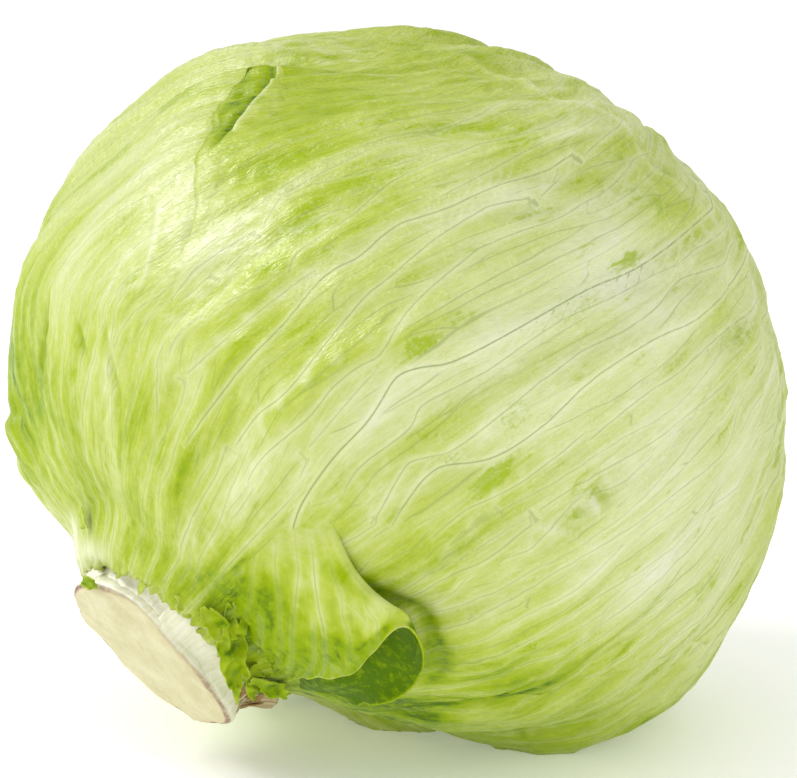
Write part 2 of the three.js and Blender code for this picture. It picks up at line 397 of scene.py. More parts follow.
# Creases, grooves and ridges pressed into the head one by one: a path in polar and side degrees,
# the half width and the lift in mm, lean to raise its left side and sink its right one,
# and the change in how green it is; the green added in creases and grooves is partly painted shade
strokes = (
    # the deep crease at the upper left, wide below and thin above, and the bright lip on its right;
    # its deep green is partly painted shade under the lip
    {"path": ((83, 45.2), (85.5, 46.6), (88, 47.6), (91, 49)), "width": 0.9, "lift": -1.4, "green": 0.6},
    {"path": ((87, 46.4), (91, 48), (95, 50), (99, 52.6), (104, 56)), "width": 0.6, "lift": -1.3,
     "green": 0.6},
    {"path": ((84, 46.6), (88, 49), (92, 51), (98, 55.4)), "width": 2.3, "lift": -0.7, "green": 0.22},
    {"path": ((102, 55), (105, 57.4), (108, 59.6)), "width": 1.5, "lift": -0.2, "green": 0.28},
    # grooves at the left
    {"path": ((60, 70), (53, 72), (49, 74), (43, 78)), "width": 1.2, "lift": -1.3, "lean": 0.4,
     "green": 0.3},
    {"path": ((47, 68), (42, 69), (37, 70), (30, 75)), "width": 1.1, "lift": -1.1, "lean": 0.4,
     "green": 0.26},
    {"path": ((56, 51), (52, 48), (48, 45), (44, 43), (38, 43.5)), "width": 1.0, "lift": -0.8, "lean": 0.3,
     "green": 0.18},
    {"path": ((54, 58), (52, 57), (49, 54)), "width": 0.9, "lift": -0.6, "green": 0.2},
    # the forked white ridge
    {"path": ((73.5, 49), (69, 46), (62.5, 44), (60.5, 47), (58.5, 49), (55, 51)), "width": 0.7, "lift": 0.5,
     "green": -0.26},
    {"path": ((66, 50), (59.5, 51), (56, 52.5)), "width": 0.6, "lift": 0.4, "green": -0.22},
    # the lobe on the left outline and its streaks
    {"path": ((43, 99), (41, 100), (37, 104), (33, 108)), "width": 5.0, "lift": 2.4, "green": 0.06},
    {"path": ((45, 93), (43, 95), (41, 97)), "width": 2.2, "lift": -1.0, "green": 0.1},
    {"path": ((41, 103), (37, 106), (34, 108), (30, 111)), "width": 0.9, "lift": -0.4, "green": 0.34},
    # the dimple at the right with its curved crease and the lens below it; the pale raised arc
    # beside its dark spot is a painted highlight
    {"path": ((82, -29.5), (82.2, -31), (82.5, -32.5)), "width": 1.3, "lift": -1.3, "green": 0.3},
    {"path": ((78.5, -29), (80, -28), (82, -27.5), (84.5, -28.8)), "width": 0.6, "lift": -0.6, "green": 0.3},
    {"path": ((79.5, -32.5), (80.5, -31), (80.5, -29.5)), "width": 0.8, "lift": 0.5, "green": -0.3},
    {"path": ((69.5, -32), (70.5, -30), (72.5, -29), (75.5, -32.5), (77, -36), (77.5, -38)), "width": 0.6,
     "lift": 0.35, "green": -0.14},
    # pale ribs
    {"path": ((130, 48), (131, 38), (130, 27), (130, 15), (134, 6), (131, -3), (131, -11), (132, -20)),
     "width": 1.3, "lift": 0.6, "green": -0.24},
    {"path": ((65, 41), (78, 33), (89, 28), (98, 24)), "width": 2.2, "lift": 0.35, "green": -0.16},
    {"path": ((87, 12), (100, 7.5), (111, 5)), "width": 1.5, "lift": 0.2, "green": -0.14},
    {"path": ((52, -2.5), (61, -1.5), (70, -0.5), (77, -3)), "width": 1.5, "lift": 0.3, "green": -0.12},
    # the lower margin of the front leaf, its green a painted shade line under the overlapping edge
    {"path": ((41, -62), (49, -62), (54, -60), (58, -57), (62, -56.5)), "width": 0.7, "lift": -0.9,
     "green": 0.4},
    {"path": ((72, -63), (75, -60), (78, -59)), "width": 0.8, "lift": -0.5, "green": 0.24},
    {"path": ((52, -85), (54, -84), (58, -80), (61, -86)), "width": 0.8, "lift": -0.7, "green": 0.34},
    # the trough beside the pleat, its green painted shadow cast by the pleat's raised edge
    {"path": ((49, -16), (49, -23.5), (50.5, -28), (52, -32.5), (51.5, -38), (50, -45), (47, -52)),
     "width": 2.0, "lift": -1.2, "green": 0.46},
)
# Softly edged blotches of strong green: polar, side, half length and half width in mm, strength
blotches = (
    (20, 39, 2.4, 0.9, 0.6), (17, 26, 2.4, 0.7, 0.6), (70, 33, 6.0, 1.5, 0.2), (79, 26, 5.0, 1.6, 0.4),
    (104, 22, 9.0, 1.8, 0.3), (118, -6, 5.0, 2.4, 0.3), (110, -12, 5.0, 2.0, 0.3), (81, 74, 5.0, 1.0, 0.5),
    (73, 25, 3.6, 1.1, 0.45), (79, 20, 3.2, 1.0, 0.35), (84, 19, 3.0, 1.0, 0.3), (80, 24, 3.6, 1.1, 0.42),
    (83, 26, 3.6, 1.2, 0.42), (89, 24, 5.0, 1.6, 0.45), (83, 42, 2.6, 1.4, 0.35), (84, 37, 4.0, 1.4, 0.38),
    (105, 35, 5.0, 1.2, 0.4), (102, 30, 5.0, 1.2, 0.38), (90, 67, 4.0, 1.5, 0.38), (108, 60, 3.0, 1.6, 0.45),
    (129, 51, 5.0, 1.2, 0.4), (114, 37, 4.0, 1.5, 0.34), (101, 28, 5.0, 1.4, 0.34), (107, 20, 6.0, 1.4, 0.3),
    (101, 21, 5.0, 1.2, 0.28), (95, 22, 4.0, 1.2, 0.28), (89, 18, 4.0, 1.2, 0.28), (119, 21, 5.0, 1.5, 0.24),
    (115, 13, 5.0, 1.5, 0.24), (125, 0, 3.0, 2.0, 0.4), (116, -1, 3.0, 1.8, 0.34), (102, 3, 5.0, 2.0, 0.36),
    (122, -10, 3.2, 2.0, 0.38), (133, -9, 4.0, 2.0, 0.34), (68, 17, 4.0, 1.3, 0.42), (77, 2, 3.8, 1.7, 0.5),
    (83, 1, 2.4, 1.2, 0.38), (72, -19, 4.2, 2.0, 0.6), (70, -13, 4.0, 1.4, 0.34), (42, 30, 4.6, 1.3, 0.55),
    (62, 23, 4.0, 1.2, 0.28), (60, 17, 4.0, 1.3, 0.26), (51, 34, 4.0, 1.2, 0.24), (47, -14, 3.4, 1.2, 0.3),
    (53, -24, 4.0, 1.5, 0.34), (63, -47, 3.0, 1.8, 0.42), (80, -70, 5.0, 1.8, 0.4), (66, -60, 5.0, 1.8, 0.4),
    (78, -31, 1.3, 1.2, 0.6), (80, -14, 5.0, 2.2, 0.3), (82, -30, 3.6, 1.8, 0.3), (69, -8, 6.0, 1.5, 0.28),
    (82, 9, 3.0, 1.2, 0.24), (90, -16, 2.4, 1.0, 0.28), (98, -21, 2.4, 1.3, 0.34), (116, -34, 8.0, 3.0, 0.16),
    (130, -49, 7.0, 3.0, 0.26), (80, -54, 5.0, 2.0, 0.3), (73, -60, 4.0, 1.6, 0.26),
    (63, -74, 5.0, 2.0, 0.36),
    (68, -71, 5.0, 2.0, 0.34), (91, -59, 6.0, 2.0, 0.24), (92, 29, 6.0, 2.0, 0.24), (88, 33, 5.0, 1.6, 0.28),
    (112, 11, 6.0, 2.0, 0.2), (110, 15, 6.0, 2.0, 0.2), (91, 65, 6.0, 2.0, 0.3), (62, 47, 3.0, 1.5, 0.34),
    (92, 64, 6.0, 1.3, 0.36), (81, 73, 6.0, 1.3, 0.36), (57, -2, 3.0, 0.9, 0.2), (28, 31, 3.4, 1.4, 0.4),
)
# Broad shifts of tone: polar, side, spread in degrees, change; mostly the leaf's own tone, some painted light
# as marked
broadTones = (
    (27, -8, 8, 0.38), (33, -15, 7, 0.32), (23, -26, 6, 0.32), (22, 18, 5, 0.16), (20, 32, 5, 0.16),
    (28, 34, 6, 0.22), (107, 15, 8, 0.12), (128, -4, 10, 0.1), (84, -52, 9, -0.12), (107, -10, 9, -0.22),
    (75, -79, 7, -0.12),
    (100, 44, 15, 0.2), (128, 44, 14, 0.14), (86, 36, 8, 0.14), (60, -78, 22, 0.24), (50, 92, 16, 0.36),
    (40, 70, 12, 0.18), (24, 70, 7, 0.2), (77, 50, 10, -0.16), (95, -12, 17, -0.2), (78, -34, 9, -0.14),
    # (77, 50) just below and (70, 36) on the line after are paler as a painted highlight at the upper left
    (110, -45, 18, -0.1), (70, 36, 7, -0.2), (94, 11, 8, -0.14), (88, 23, 8, 0.14), (72, -2, 9, -0.16),
    (63, -21, 6, 0.1), (102, -57, 9, -0.14), (86, -70, 9, -0.26),
    (90, -46, 11, -0.22), (42, 34, 12, 0.15), (63, 26, 9, 0.12), (70, 17, 8, 0.1), (57, -24, 8, 0.14),
    # (36, -78) and (41, -65) just below and (50, -45) on the line after are greener as painted shade under
    # the pleat
    (60, -55, 9, 0.16), (29, -62, 9, 0.34), (36, -78, 9, 0.4), (41, -65, 7, 0.4), (18, -62, 8, 0.4),
    (50, -45, 5, 0.18), (48, 10, 7, -0.1), (30, 10, 6, -0.14), (122, 120, 50, 0.12), (100, -130, 50, 0.14),
)
# The leaf is pressed down under its pleat: polar, side, half length and half width in mm, depth
pleatBed = (
    (36, -27, 11.0, 9.0, 2.0), (42, -34, 9.0, 7.0, 1.6), (28, -50, 6.0, 10.0, 1.2), (35, -52, 5.0, 5.0, 2.2),
)
tornPale = (  # places by the stem where the skin is torn off and white flesh shows: polar, side, half sizes
    (18, 96, 5.0, 5.0), (22, 92, 4.0, 3.0), (18, 70, 2.5, 6.0),
)


def pressed(directions, stroke):
    path = unit(curveThrough(headDirection(*np.array(stroke["path"], float).T), 60))
    nearest = (directions @ path.T).argmax(1)
    tangents = unit(np.gradient(path, axis=0))
    offset = (directions - path[nearest]) * ballRadius
    side = (offset * np.cross(path, tangents)[nearest]).sum(1)
    distance = np.linalg.norm(offset, axis=1)
    ends = np.sin(np.pi * np.clip((nearest + 0.5) / 60, 0, 1)) ** 0.6
    return side, distance, ends


def spotShape(directions, polarAt, sideAt, length, width, sway):
    middle = headDirection(polarAt, sideAt)
    further = headDirection(polarAt + 2, flowSide(polarAt + 2, startSide(polarAt, sideAt)))
    outward = unit(further - middle)
    offset = (directions - middle) * ballRadius
    along, across = offset @ outward, offset @ np.cross(middle, outward)
    return hill(along, length) * hill(across + sway, width) * (directions @ middle > 0)


# Height in mm, green and pale shares that belong to the whole head, so that leaves agree at their seams
relief = {
    "swell": 0.5,
    "undulation": 0.28,
    "lumps": 0.09,
    "baseGreen": 0.505,
    "mostGreen": 0.9,
    "pocketGreen": 0.1,  # more than that where shade under the pleat is painted as deeper green
    "broadStreaks": 0.035,
    "fineStreaks": 0.03,
    "cloud": 0.035,
    "blotches": 0.5,
    "mapped": 62.0,  # within this many degrees of the front, blotches are mostly the listed ones
    "calm": (16, 30),  # degrees from the stem where the swells start and are full
    "crinkleFrom": (50, 90),
    "pale": 0.24,
    "torn": 0.7,
    "paleEnds": (0.62, 0.85),  # how green the leaf is where its pale streaks fade out
}
pocketShade = (42, -60, 8)  # polar, side, spread in degrees of the painted shade under the pleat
# Streaks along the flow: seed, shortest and longest wavelength and reach in mm, samples
streakLayers = {
    "swell": (11, 22, 44, 22, 7), "undulation": (12, 9, 17, 9, 7), "broad": (21, 8, 20, 22),
    "fine": (22, 3.0, 6.0, 12), "patches": (24, 4, 9, 6), "pale": (31, 5, 11, 26),
}
# The same without a direction: seed, shortest and longest wavelength
waveLayers = {"lumps": (13, 3.2, 6.5), "cloud": (23, 14, 40)}
sightLine = unit((0.0, -0.978, 0.208))


def surfaceFields(directions):
    polar, side = polarAndSide(directions)
    start = startSide(polar, side)
    points = directions * ballRadius
    calm = smoothStep(polar, *relief["calm"])
    lift = relief["swell"] * calm * streaks(polar, start, *streakLayers["swell"])
    lift += relief["undulation"] * calm * streaks(polar, start, *streakLayers["undulation"])
    lift += relief["lumps"] * (0.5 + 0.5 * calm) * waves(points, *waveLayers["lumps"])
    broad = streaks(polar, start, *streakLayers["broad"])
    fine = streaks(polar, start, *streakLayers["fine"])
    green = relief["baseGreen"] + relief["broadStreaks"] * broad + relief["fineStreaks"] * fine
    green += relief["cloud"] * waves(points, *waveLayers["cloud"])
    unmapped = smoothStep(degreesFrom(directions, sightLine), relief["mapped"], relief["mapped"] + 20)
    patches = streaks(polar, start, *streakLayers["patches"])
    blotch = relief["blotches"] * (0.3 + 0.7 * unmapped) * smoothStep(patches + 0.35 * fine, 1.3, 2.5)
    for polarAt, sideAt, spread, change in broadTones:
        green += change * hill(degreesFrom(directions, headDirection(polarAt, sideAt)), spread)
    for polarAt, sideAt, length, width, strength in blotches:
        blotch += strength * spotShape(directions, polarAt, sideAt, length, width, 0.5 * fine)
    for stroke in strokes:
        across, distance, ends = pressed(directions, stroke)
        shape = hill(distance, stroke["width"]) * ends
        lift += stroke["lift"] * shape
        lean = stroke.get("lean", 0.0) * np.clip(across / stroke["width"], -1, 1)
        lift += lean * hill(distance, 2.6 * stroke["width"]) * ends
        green += stroke["green"] * shape
    pale = relief["pale"] * smoothStep(streaks(polar, start, *streakLayers["pale"]), 1.1, 2.6)
    for polarAt, sideAt, length, width in tornPale:
        pale += relief["torn"] * spotShape(directions, polarAt, sideAt, length, width, fine)
    pale *= 1 - smoothStep(green, *relief["paleEnds"])
    lift += collar["rise"] * (1 - smoothStep(polar, collar["edge"], collar["foot"]))
    crinkle = 0.45 + 0.55 * smoothStep(polar, *relief["crinkleFrom"])
    polarAt, sideAt, spread = pocketShade
    shaded = hill(degreesFrom(directions, headDirection(polarAt, sideAt)), spread)
    green = np.minimum(green, relief["mostGreen"] + relief["pocketGreen"] * shaded)
    pale = np.clip(pale, 0, 1)
    return {"lift": lift, "green": green, "blotch": blotch, "pale": pale, "polar": polar, "side": side,
            "crinkle": crinkle}


# Wrapper leaves, outermost first. Angles in degrees as on the head; lifts raise a margin from the
# leaf below it: which side, polar place and spread in degrees, height in mm
wrapperLeaves = {
    "frontLeaf": {
        "replaces": "front_leaf", "side": -11, "middle": 84, "halfFan": 33, "base": 15.6, "tip": 188,
        "cells": (158, 292), "seed": 101, "starts": 9, "green": 0.0,
        "lifts": ((1, 91, 11, 0.9), (-1, 52, 14, 1.0), (-1, 95, 20, 0.3)),
    },
    "underLeaf": {
        "replaces": "under_leaf", "side": -112, "middle": 82, "halfFan": 45, "base": 15.6, "tip": 180,
        "cells": (142, 188), "seed": 102, "starts": 11, "green": 0.1,
        "lifts": ((1, 65, 30, 0.5), (-1, 80, 40, 0.5)),
    },
    "leftLeaf": {
        "replaces": "left_leaf", "side": 104, "middle": 84, "halfFan": 44.8, "base": 15.6, "tip": 184,
        "cells": (160, 210), "seed": 103, "starts": 11, "green": 0.0,
        "lifts": ((1, 80, 40, 0.5),),
    },
    "backLeaf": {
        "replaces": "back_leaf", "side": 176, "middle": 80, "halfFan": 48, "base": 15.6, "tip": 172,
        "cells": (140, 160), "seed": 104, "starts": 11, "green": 0.04,
        "lifts": ((1, 90, 40, 0.5), (-1, 90, 40, 0.5)),
    },
    "upperLeaf": {
        "replaces": "upper_leaf", "side": 48, "middle": 88, "halfFan": 44, "base": 15.6, "tip": 186,
        "cells": (176, 240), "seed": 105, "starts": 11, "green": 0.0, "lifts": (),
    },
    "lowerLeaf": {
        "replaces": "lower_leaf", "side": -62, "middle": 84, "halfFan": 46, "base": 15.6, "tip": 180,
        "cells": (140, 140), "seed": 106, "starts": 11, "green": 0.1, "lifts": (),
    },
}
leafBuild = {
    "thickness": 0.6,
    "pitch": 1.25,  # how far a covered leaf lies below the one that covers it
    "collarPitch": 0.45,
    "coverFade": 9.0,  # how far in from the cover's margin it gets there
    "marginDip": 0.45,
    "marginFade": 3.0,
    "liftFade": 9.0,
    "wave": 1.1,  # how far margins wander
    "tear": 0.011,  # how far the torn base margin wanders, in radians
    "tornBack": (2.2, -2, 48),  # degrees torn off the base above the stem, about a side, spread
    "frill": 0.45,
    "veinMiddle": 30,
    "quilt": 0.14,  # how far the leaf swells between its veins
    "quiltSpan": (0.3, 3.2),  # mm from a vein where that starts and ends
    "quiltFrom": (18, 40),  # degrees from the stem
    "rib": 0.04,
    "ribWidth": 1.5,
    "paintedMarginShade": 0.1,
    "paintedMarginShadeFade": 1.6,
}
# The strongest veins of the front leaf: strength and path in polar and side degrees
frontVeins = (
    (1.7, ((40, -9), (47, -3), (52, -1), (59, 0), (65, 0), (70, 1), (73, 1), (76, -1), (79, -3), (88, -6),
           (101, -10), (111, -14), (135, -22))),
    (0.7, ((61, 35), (68, 32), (75, 30), (82, 31))),
    (0.7, ((67, 38), (73, 35), (82, 32), (90, 29))),
    (1.3, ((45, 24), (49, 23), (58, 21), (67, 19), (76, 18), (81, 16), (87, 15), (93, 12), (102, 9))),
    (0.8, ((53, 30), (60, 26), (70, 22), (77, 19), (80, 17))),
    (0.8, ((72, 21), (76, 23), (83, 21), (91, 20), (101, 17))),
    (1.1, ((48, 15), (56, 14), (62, 12), (75, 12), (81, 11), (89, 10), (98, 8))),
    (1.0, ((47, 9), (52, 9), (60, 7), (65, 7), (70, 6), (73, 5), (78, 6), (84, 6), (92, 5))),
    (0.7, ((55, 4), (61, 4), (68, 4), (72, 4))),
    (0.9, ((56, -5), (61, -4), (68, -5), (71, -4), (75, -5), (81, -7))),
    (1.0, ((56, -12), (63, -9), (66, -9), (69, -11), (73, -12), (85, -13))),
    (1.4, ((58, -14), (67, -12), (73, -16), (83, -18), (91, -18), (102, -21), (110, -25), (126, -31))),
    (0.8, ((85, 16), (92, 14), (100, 12), (109, 10), (122, 8))),
    (0.9, ((102, 4), (114, 4), (129, 4))),
    (0.9, ((83, -24), (94, -25), (101, -27), (110, -30), (127, -39))),
    (0.9, ((61, -20), (67, -20), (73, -22), (86, -23))),
    (0.8, ((62, -26), (74, -27), (85, -29), (99, -33))),
    (0.8, ((58, -37), (72, -36), (84, -38), (101, -42))),
    (0.8, ((51, -46), (59, -46), (74, -45), (88, -48))),
)


def margins(leaf, flat, directions):
    fan, reach, scale = toFan(flat, directions)
    halfFan = math.radians(leaf["halfFan"])
    u = np.clip(fan / halfFan, -1, 1)
    fromSide = (halfFan - np.abs(fan)) * reach * scale
    fromTip = (tipReach(leaf, u) - reach) * scale
    return fan, fromSide, fromTip


def tipReach(leaf, u):
    longest = flatReach(leaf["middle"]) + flatReach(leaf["tip"] - leaf["middle"])
    return longest * (1 - 0.2 * u**2 - 0.14 * u**4)


def leafDirection(leaf, flat, u, v):
    drift = waves(np.stack([v * 9, u * 4, np.sign(u) * 30], -1), leaf["seed"], 1.2, 5.0, 20)
    tear = waves(np.stack([u * 14, u * 3, 0 * u], -1), leaf["seed"] + 50, 1.5, 7.0, 20)
    wander = leafBuild["wave"] / ballRadius * drift
    fan = math.radians(leaf["halfFan"]) * u + wander * np.abs(u) ** 5
    stemReach = flat["stemReach"]
    baseReach = stemReach - flatReach(leaf["middle"] - leaf["base"])
    torn, middle, spread = leafBuild["tornBack"]
    torn = math.radians(torn) * hill(sideFrom(leaf["side"] + np.degrees(fan), middle), spread)
    baseAngle = 2 * math.atan((baseReach - stemReach) / 2) + torn + leafBuild["tear"] * tear * (1 - v) ** 24
    tipAngle = 2 * np.arctan((tipReach(leaf, u) - stemReach) / 2) + 1.6 * wander * v**4
    return fromFan(flat, fan, stemReach + 2 * np.tan((baseAngle + (tipAngle - baseAngle) * v) / 2))


def selectOnly(piece):
    bpy.ops.object.select_all(action="DESELECT")
    piece.select_set(True)
    bpy.context.view_layer.objects.active = piece


def meshPoints(piece):
    points = np.zeros(len(piece.data.vertices) * 3)
    piece.data.vertices.foreach_get("co", points)
    return points.reshape(-1, 3)


def setPoints(piece, points):
    piece.data.vertices.foreach_set("co", np.asarray(points, float).ravel() * mm)
    piece.data.update()


def addSheet(name, cells):
    bpy.ops.object.select_all(action="DESELECT")
    bpy.ops.mesh.primitive_grid_add(x_subdivisions=cells[0], y_subdivisions=cells[1], size=2)
    piece = bpy.context.object
    piece.name = piece.data.name = name
    return piece


def storeFields(piece, fields):
    for name, values in fields.items():
        kind = "FLOAT" if np.ndim(values) == 1 else "FLOAT_VECTOR"
        field = piece.data.attributes.new(name, kind, "POINT")
        key = "value" if kind == "FLOAT" else "vector"
        field.data.foreach_set(key, np.asarray(values, np.float32).ravel())


def faceOutwards(piece, outward):
    normals = np.zeros(len(piece.data.polygons) * 3)
    centres = np.zeros(len(piece.data.polygons) * 3)
    piece.data.polygons.foreach_get("normal", normals)
    piece.data.polygons.foreach_get("center", centres)
    normals, centres = normals.reshape(-1, 3), centres.reshape(-1, 3)
    if (normals * outward(centres / mm)).sum() < 0:
        selectOnly(piece)
        bpy.ops.object.mode_set(mode="EDIT")
        bpy.ops.mesh.select_all(action="SELECT")
        bpy.ops.mesh.flip_normals()
        bpy.ops.object.mode_set(mode="OBJECT")


def fromHead(points):
    return points - headCentre


def thicken(piece, thickness):
    selectOnly(piece)
    wall = piece.modifiers.new("wall", "SOLIDIFY")
    wall.thickness = thickness * mm
    wall.offset = -1
    bpy.ops.object.modifier_apply(modifier=wall.name)
    bpy.ops.object.shade_smooth()


def noVeins(points):
    nothing = np.zeros(len(points))
    return {"veinSide": nothing + 9, "veinNear": nothing + 9, "veinWeight": nothing}


def finishPiece(piece, slot, material, *nodes):
    piece.data.materials.clear()
    piece.data.materials.append(material)
    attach(piece, "root")
    if nodes:
        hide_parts(*nodes)
    return piece


# Where the streaks and thin veins of a leaf are laid out: mm across the flow and along it
def flowPlace(veinFlat, directions):
    fan, reach, _ = toFan(veinFlat, straightened(directions))
    return np.stack([fan * ballRadius, np.log(reach) * ballRadius, 0 * fan], -1)


def onHead(flat):
    return lambda across, along: bent(unit(fromFan(flat, across, along))) * ballRadius


def makeWrapperLeaf(name, leaf, covers, slot, material):
    build = leafBuild
    piece = addSheet(name, leaf["cells"])
    grid = meshPoints(piece)
    u, v = grid[:, 0], (grid[:, 1] + 1) / 2
    flat = fanMap(leaf["side"], leaf["middle"])
    directions = unit(leafDirection(leaf, flat, u, v))
    fields = surfaceFields(directions)
    polar = fields["polar"]
    fan, fromSide, fromTip = margins(leaf, flat, directions)
    inside = np.minimum(fromSide, fromTip)
    height = fields["lift"] - build["marginDip"] * (1 - smoothStep(inside, 0, build["marginFade"]))
    for which, polarAt, spread, rise in leaf["lifts"]:
        place = hill(polar - polarAt, spread) * (1 - smoothStep(fromSide, 0, build["liftFade"]))
        height += rise * place * (np.sign(fan) == which)
    pitch = build["collarPitch"] + (build["pitch"] - build["collarPitch"]) * smoothStep(polar, 17, 30)
    for other in covers:
        otherFlat = fanMap(other["side"], other["middle"])
        _, otherSide, otherTip = margins(other, otherFlat, directions)
        height -= pitch * smoothStep(np.minimum(otherSide, otherTip), 0, build["coverFade"])
    for polarAt, sideAt, length, width, depth in pleatBed:
        height -= depth * spotShape(directions, polarAt, sideAt, length, width, 0)
    frilled = 1 - smoothStep(polar, collar["edge"] - 0.5, collar["edge"] + 3.5)
    height += build["frill"] * frilled * waves(directions * ballRadius, leaf["seed"] + 60, 1.6, 5)

    veinFlat = fanMap(leaf["side"], build["veinMiddle"])
    ends = headDirection(np.array([16.0, min(leaf["tip"], 172)]), np.full(2, leaf["side"]))
    reach = toFan(veinFlat, ends)[1]
    mainVeins = []
    for strength, path in frontVeins if name == "frontLeaf" else ():
        line = unit(curveThrough(headDirection(*np.array(path, float).T), 80))
        lineFan, lineReach, _ = toFan(veinFlat, straightened(line))
        order = np.argsort(lineReach)
        mainVeins.append({"along": lineReach[order], "across": lineFan[order], "strength": strength})
    rng = np.random.default_rng(leaf["seed"])
    half = math.radians(leaf["halfFan"] * 1.25)
    starts = np.linspace(-half, half, leaf["starts"]) + rng.normal(size=leaf["starts"]) * 0.05
    veins = growVeins(onHead(veinFlat), reach[0], reach[1], starts, leaf["seed"], mainVeins)
    signed, near, strength = nearestVein(veins, directions * ballRadius)
    away = smoothStep(polar, *build["quiltFrom"])
    height += build["quilt"] * away * smoothStep(near, *build["quiltSpan"])
    height += build["rib"] * np.minimum(strength, 1.2) * hill(near, build["ribWidth"])

    setPoints(piece, onGround(headCentre + directions * (headRadius(directions) + height)[:, None]))
    faceOutwards(piece, fromHead)
    # painted shade: the green deepens in a thin line along the leaf's margins, for the shade under an
    # overlapping edge
    rim = build["paintedMarginShade"] * (1 - smoothStep(inside, 0, build["paintedMarginShadeFade"]))
    farSide = 1 - smoothStep(-directions[:, 1], 0.1, 0.6)
    storeFields(piece, {
        "green": fields["green"] + leaf["green"] * farSide + rim,
        "blotch": fields["blotch"], "pale": fields["pale"], "crinkle": fields["crinkle"],
        "veinSide": signed, "veinNear": near, "veinWeight": strength, "flow": flowPlace(veinFlat, directions),
    })
    thicken(piece, build["thickness"])
    return finishPiece(piece, slot, material, leaf["replaces"])


# Materials
def sRgb(*colour):
    linear = [c / 255 / 12.92 if c <= 10 else ((c / 255 + 0.055) / 1.055) ** 2.4 for c in colour]
    return (*linear, 1.0)


def addNode(tree, kind, links=None, **settings):
    node = tree.nodes.new(kind)
    for key, value in settings.items():
        setattr(node, key, value)
    for socket, value in (links or {}).items():
        target = node.inputs[socket]
        if isinstance(value, bpy.types.NodeSocket):
            tree.links.new(value, target)
        else:
            target.default_value = value
    return node


def calculate(tree, operation, a, b=0.0, c=0.0, clamp=False):
    links = {0: a, 1: b, 2: c}
    node = addNode(tree, "ShaderNodeMath", links, operation=operation, use_clamp=clamp)
    return node.outputs[0]


def combine(tree, operation, a, b=(0, 0, 0), output="Vector"):
    return addNode(tree, "ShaderNodeVectorMath", {0: a, 1: b}, operation=operation).outputs[output]


def fadeFrom(tree, value, low, high, start=0.0, end=1.0):
    links = {"Value": value, "From Min": low, "From Max": high, "To Min": start, "To Max": end}
    node = addNode(tree, "ShaderNodeMapRange", links, interpolation_type="SMOOTHSTEP")
    return node.outputs["Result"]


def blendColours(tree, share, a, b, blend="MIX"):
    links = {"Factor": share, "A": a, "B": b}
    node = tree.nodes.new("ShaderNodeMix")
    node.data_type = "RGBA"
    node.blend_type = blend
    for name, value in links.items():
        kind = "VALUE" if name == "Factor" else "RGBA"
        target = next(s for s in node.inputs if s.name == name and s.type == kind)
        if isinstance(value, bpy.types.NodeSocket):
            tree.links.new(value, target)
        else:
            target.default_value = value
    return next(s for s in node.outputs if s.type == "RGBA")


def addNoise(tree, vector, scale, stretch=(1, 1, 1), detail=3.0, roughness=0.55, output="Fac"):
    moved = addNode(tree, "ShaderNodeMapping", {"Vector": vector, "Scale": stretch})
    links = {"Vector": moved.outputs[0], "Scale": scale, "Detail": detail, "Roughness": roughness}
    return addNode(tree, "ShaderNodeTexNoise", links).outputs[output]


def addRamp(tree, amount, tones):
    ramp = addNode(tree, "ShaderNodeValToRGB", {"Fac": amount})
    elements = ramp.color_ramp.elements
    while len(elements) < len(tones):
        elements.new(0.5)
    for element, (place, colour) in zip(elements, tones):
        element.position = place
        element.color = sRgb(*colour)
    return ramp.outputs["Color"]


# A value with shares of centred noises added
def addShares(tree, value, shares):
    for noise, share in shares:
        value = calculate(tree, "MULTIPLY_ADD", calculate(tree, "SUBTRACT", noise, 0.5), share, value)
    return value


def newGroup(name, inputs, outputs):
    group = bpy.data.node_groups.new(name, "ShaderNodeTree")
    kinds = {"value": "NodeSocketFloat", "colour": "NodeSocketColor", "vector": "NodeSocketVector"}
    for label, kind in inputs:
        group.interface.new_socket(label, in_out="INPUT", socket_type=kinds[kind])
    for label, kind in outputs:
        group.interface.new_socket(label, in_out="OUTPUT", socket_type=kinds[kind])
    return group, group.nodes.new("NodeGroupInput").outputs, group.nodes.new("NodeGroupOutput").inputs


leafTones = (  # how green, colour
    (0.0, (230, 231, 205)), (0.25, (215, 221, 168)), (0.45, (198, 208, 127)), (0.62, (181, 196, 76)),
    (0.8, (154, 176, 16)), (0.9, (132, 160, 0)), (1.0, (80, 114, 0)),
)
skinTones = {
    "blotch": (156, 180, 0), "pale": (236, 237, 206), "fleck": (236, 240, 196),
    "besideVein": (234, 238, 200), "thinVein": (148, 164, 98), "vein": (134, 152, 88),
}
netVeins = {"across": 4.6, "along": 44.0, "sway": 0.9, "swayScale": 0.13, "line": 0.1, "edge": 0.3}


# Distance in flow units to the nearest edge of a net of long cells, which forks and joins as veins do
def addVeinNet(tree, flow):
    cell = (1 / netVeins["across"], 1 / netVeins["along"], 0)
    sway = addNoise(tree, flow, netVeins["swayScale"], (1, 0.35, 1), 2.0, 0.5, "Color")
    sway = combine(tree, "SUBTRACT", sway, (0.5, 0.5, 0.5))
    sway = combine(tree, "MULTIPLY", sway, (netVeins["sway"], 0.3, 0))
    place = combine(tree, "ADD", combine(tree, "MULTIPLY", flow, cell), sway)
    links = {"Vector": place, "Scale": 1.0, "Randomness": 1.0}
    cells = [addNode(tree, "ShaderNodeTexVoronoi", links, voronoi_dimensions="2D", feature=feature)
             for feature in ("F1", "F2")]
    nearest, second = (cell.outputs["Position"] for cell in cells)
    halfway = combine(tree, "MULTIPLY", combine(tree, "ADD", nearest, second), (0.5, 0.5, 0))
    across = combine(tree, "SUBTRACT", second, nearest)
    depth = combine(tree, "DOT_PRODUCT", combine(tree, "SUBTRACT", place, halfway), across, "Value")
    slope = combine(tree, "LENGTH", combine(tree, "MULTIPLY", across, cell), output="Value")
    return calculate(tree, "DIVIDE", calculate(tree, "ABSOLUTE", depth), slope)


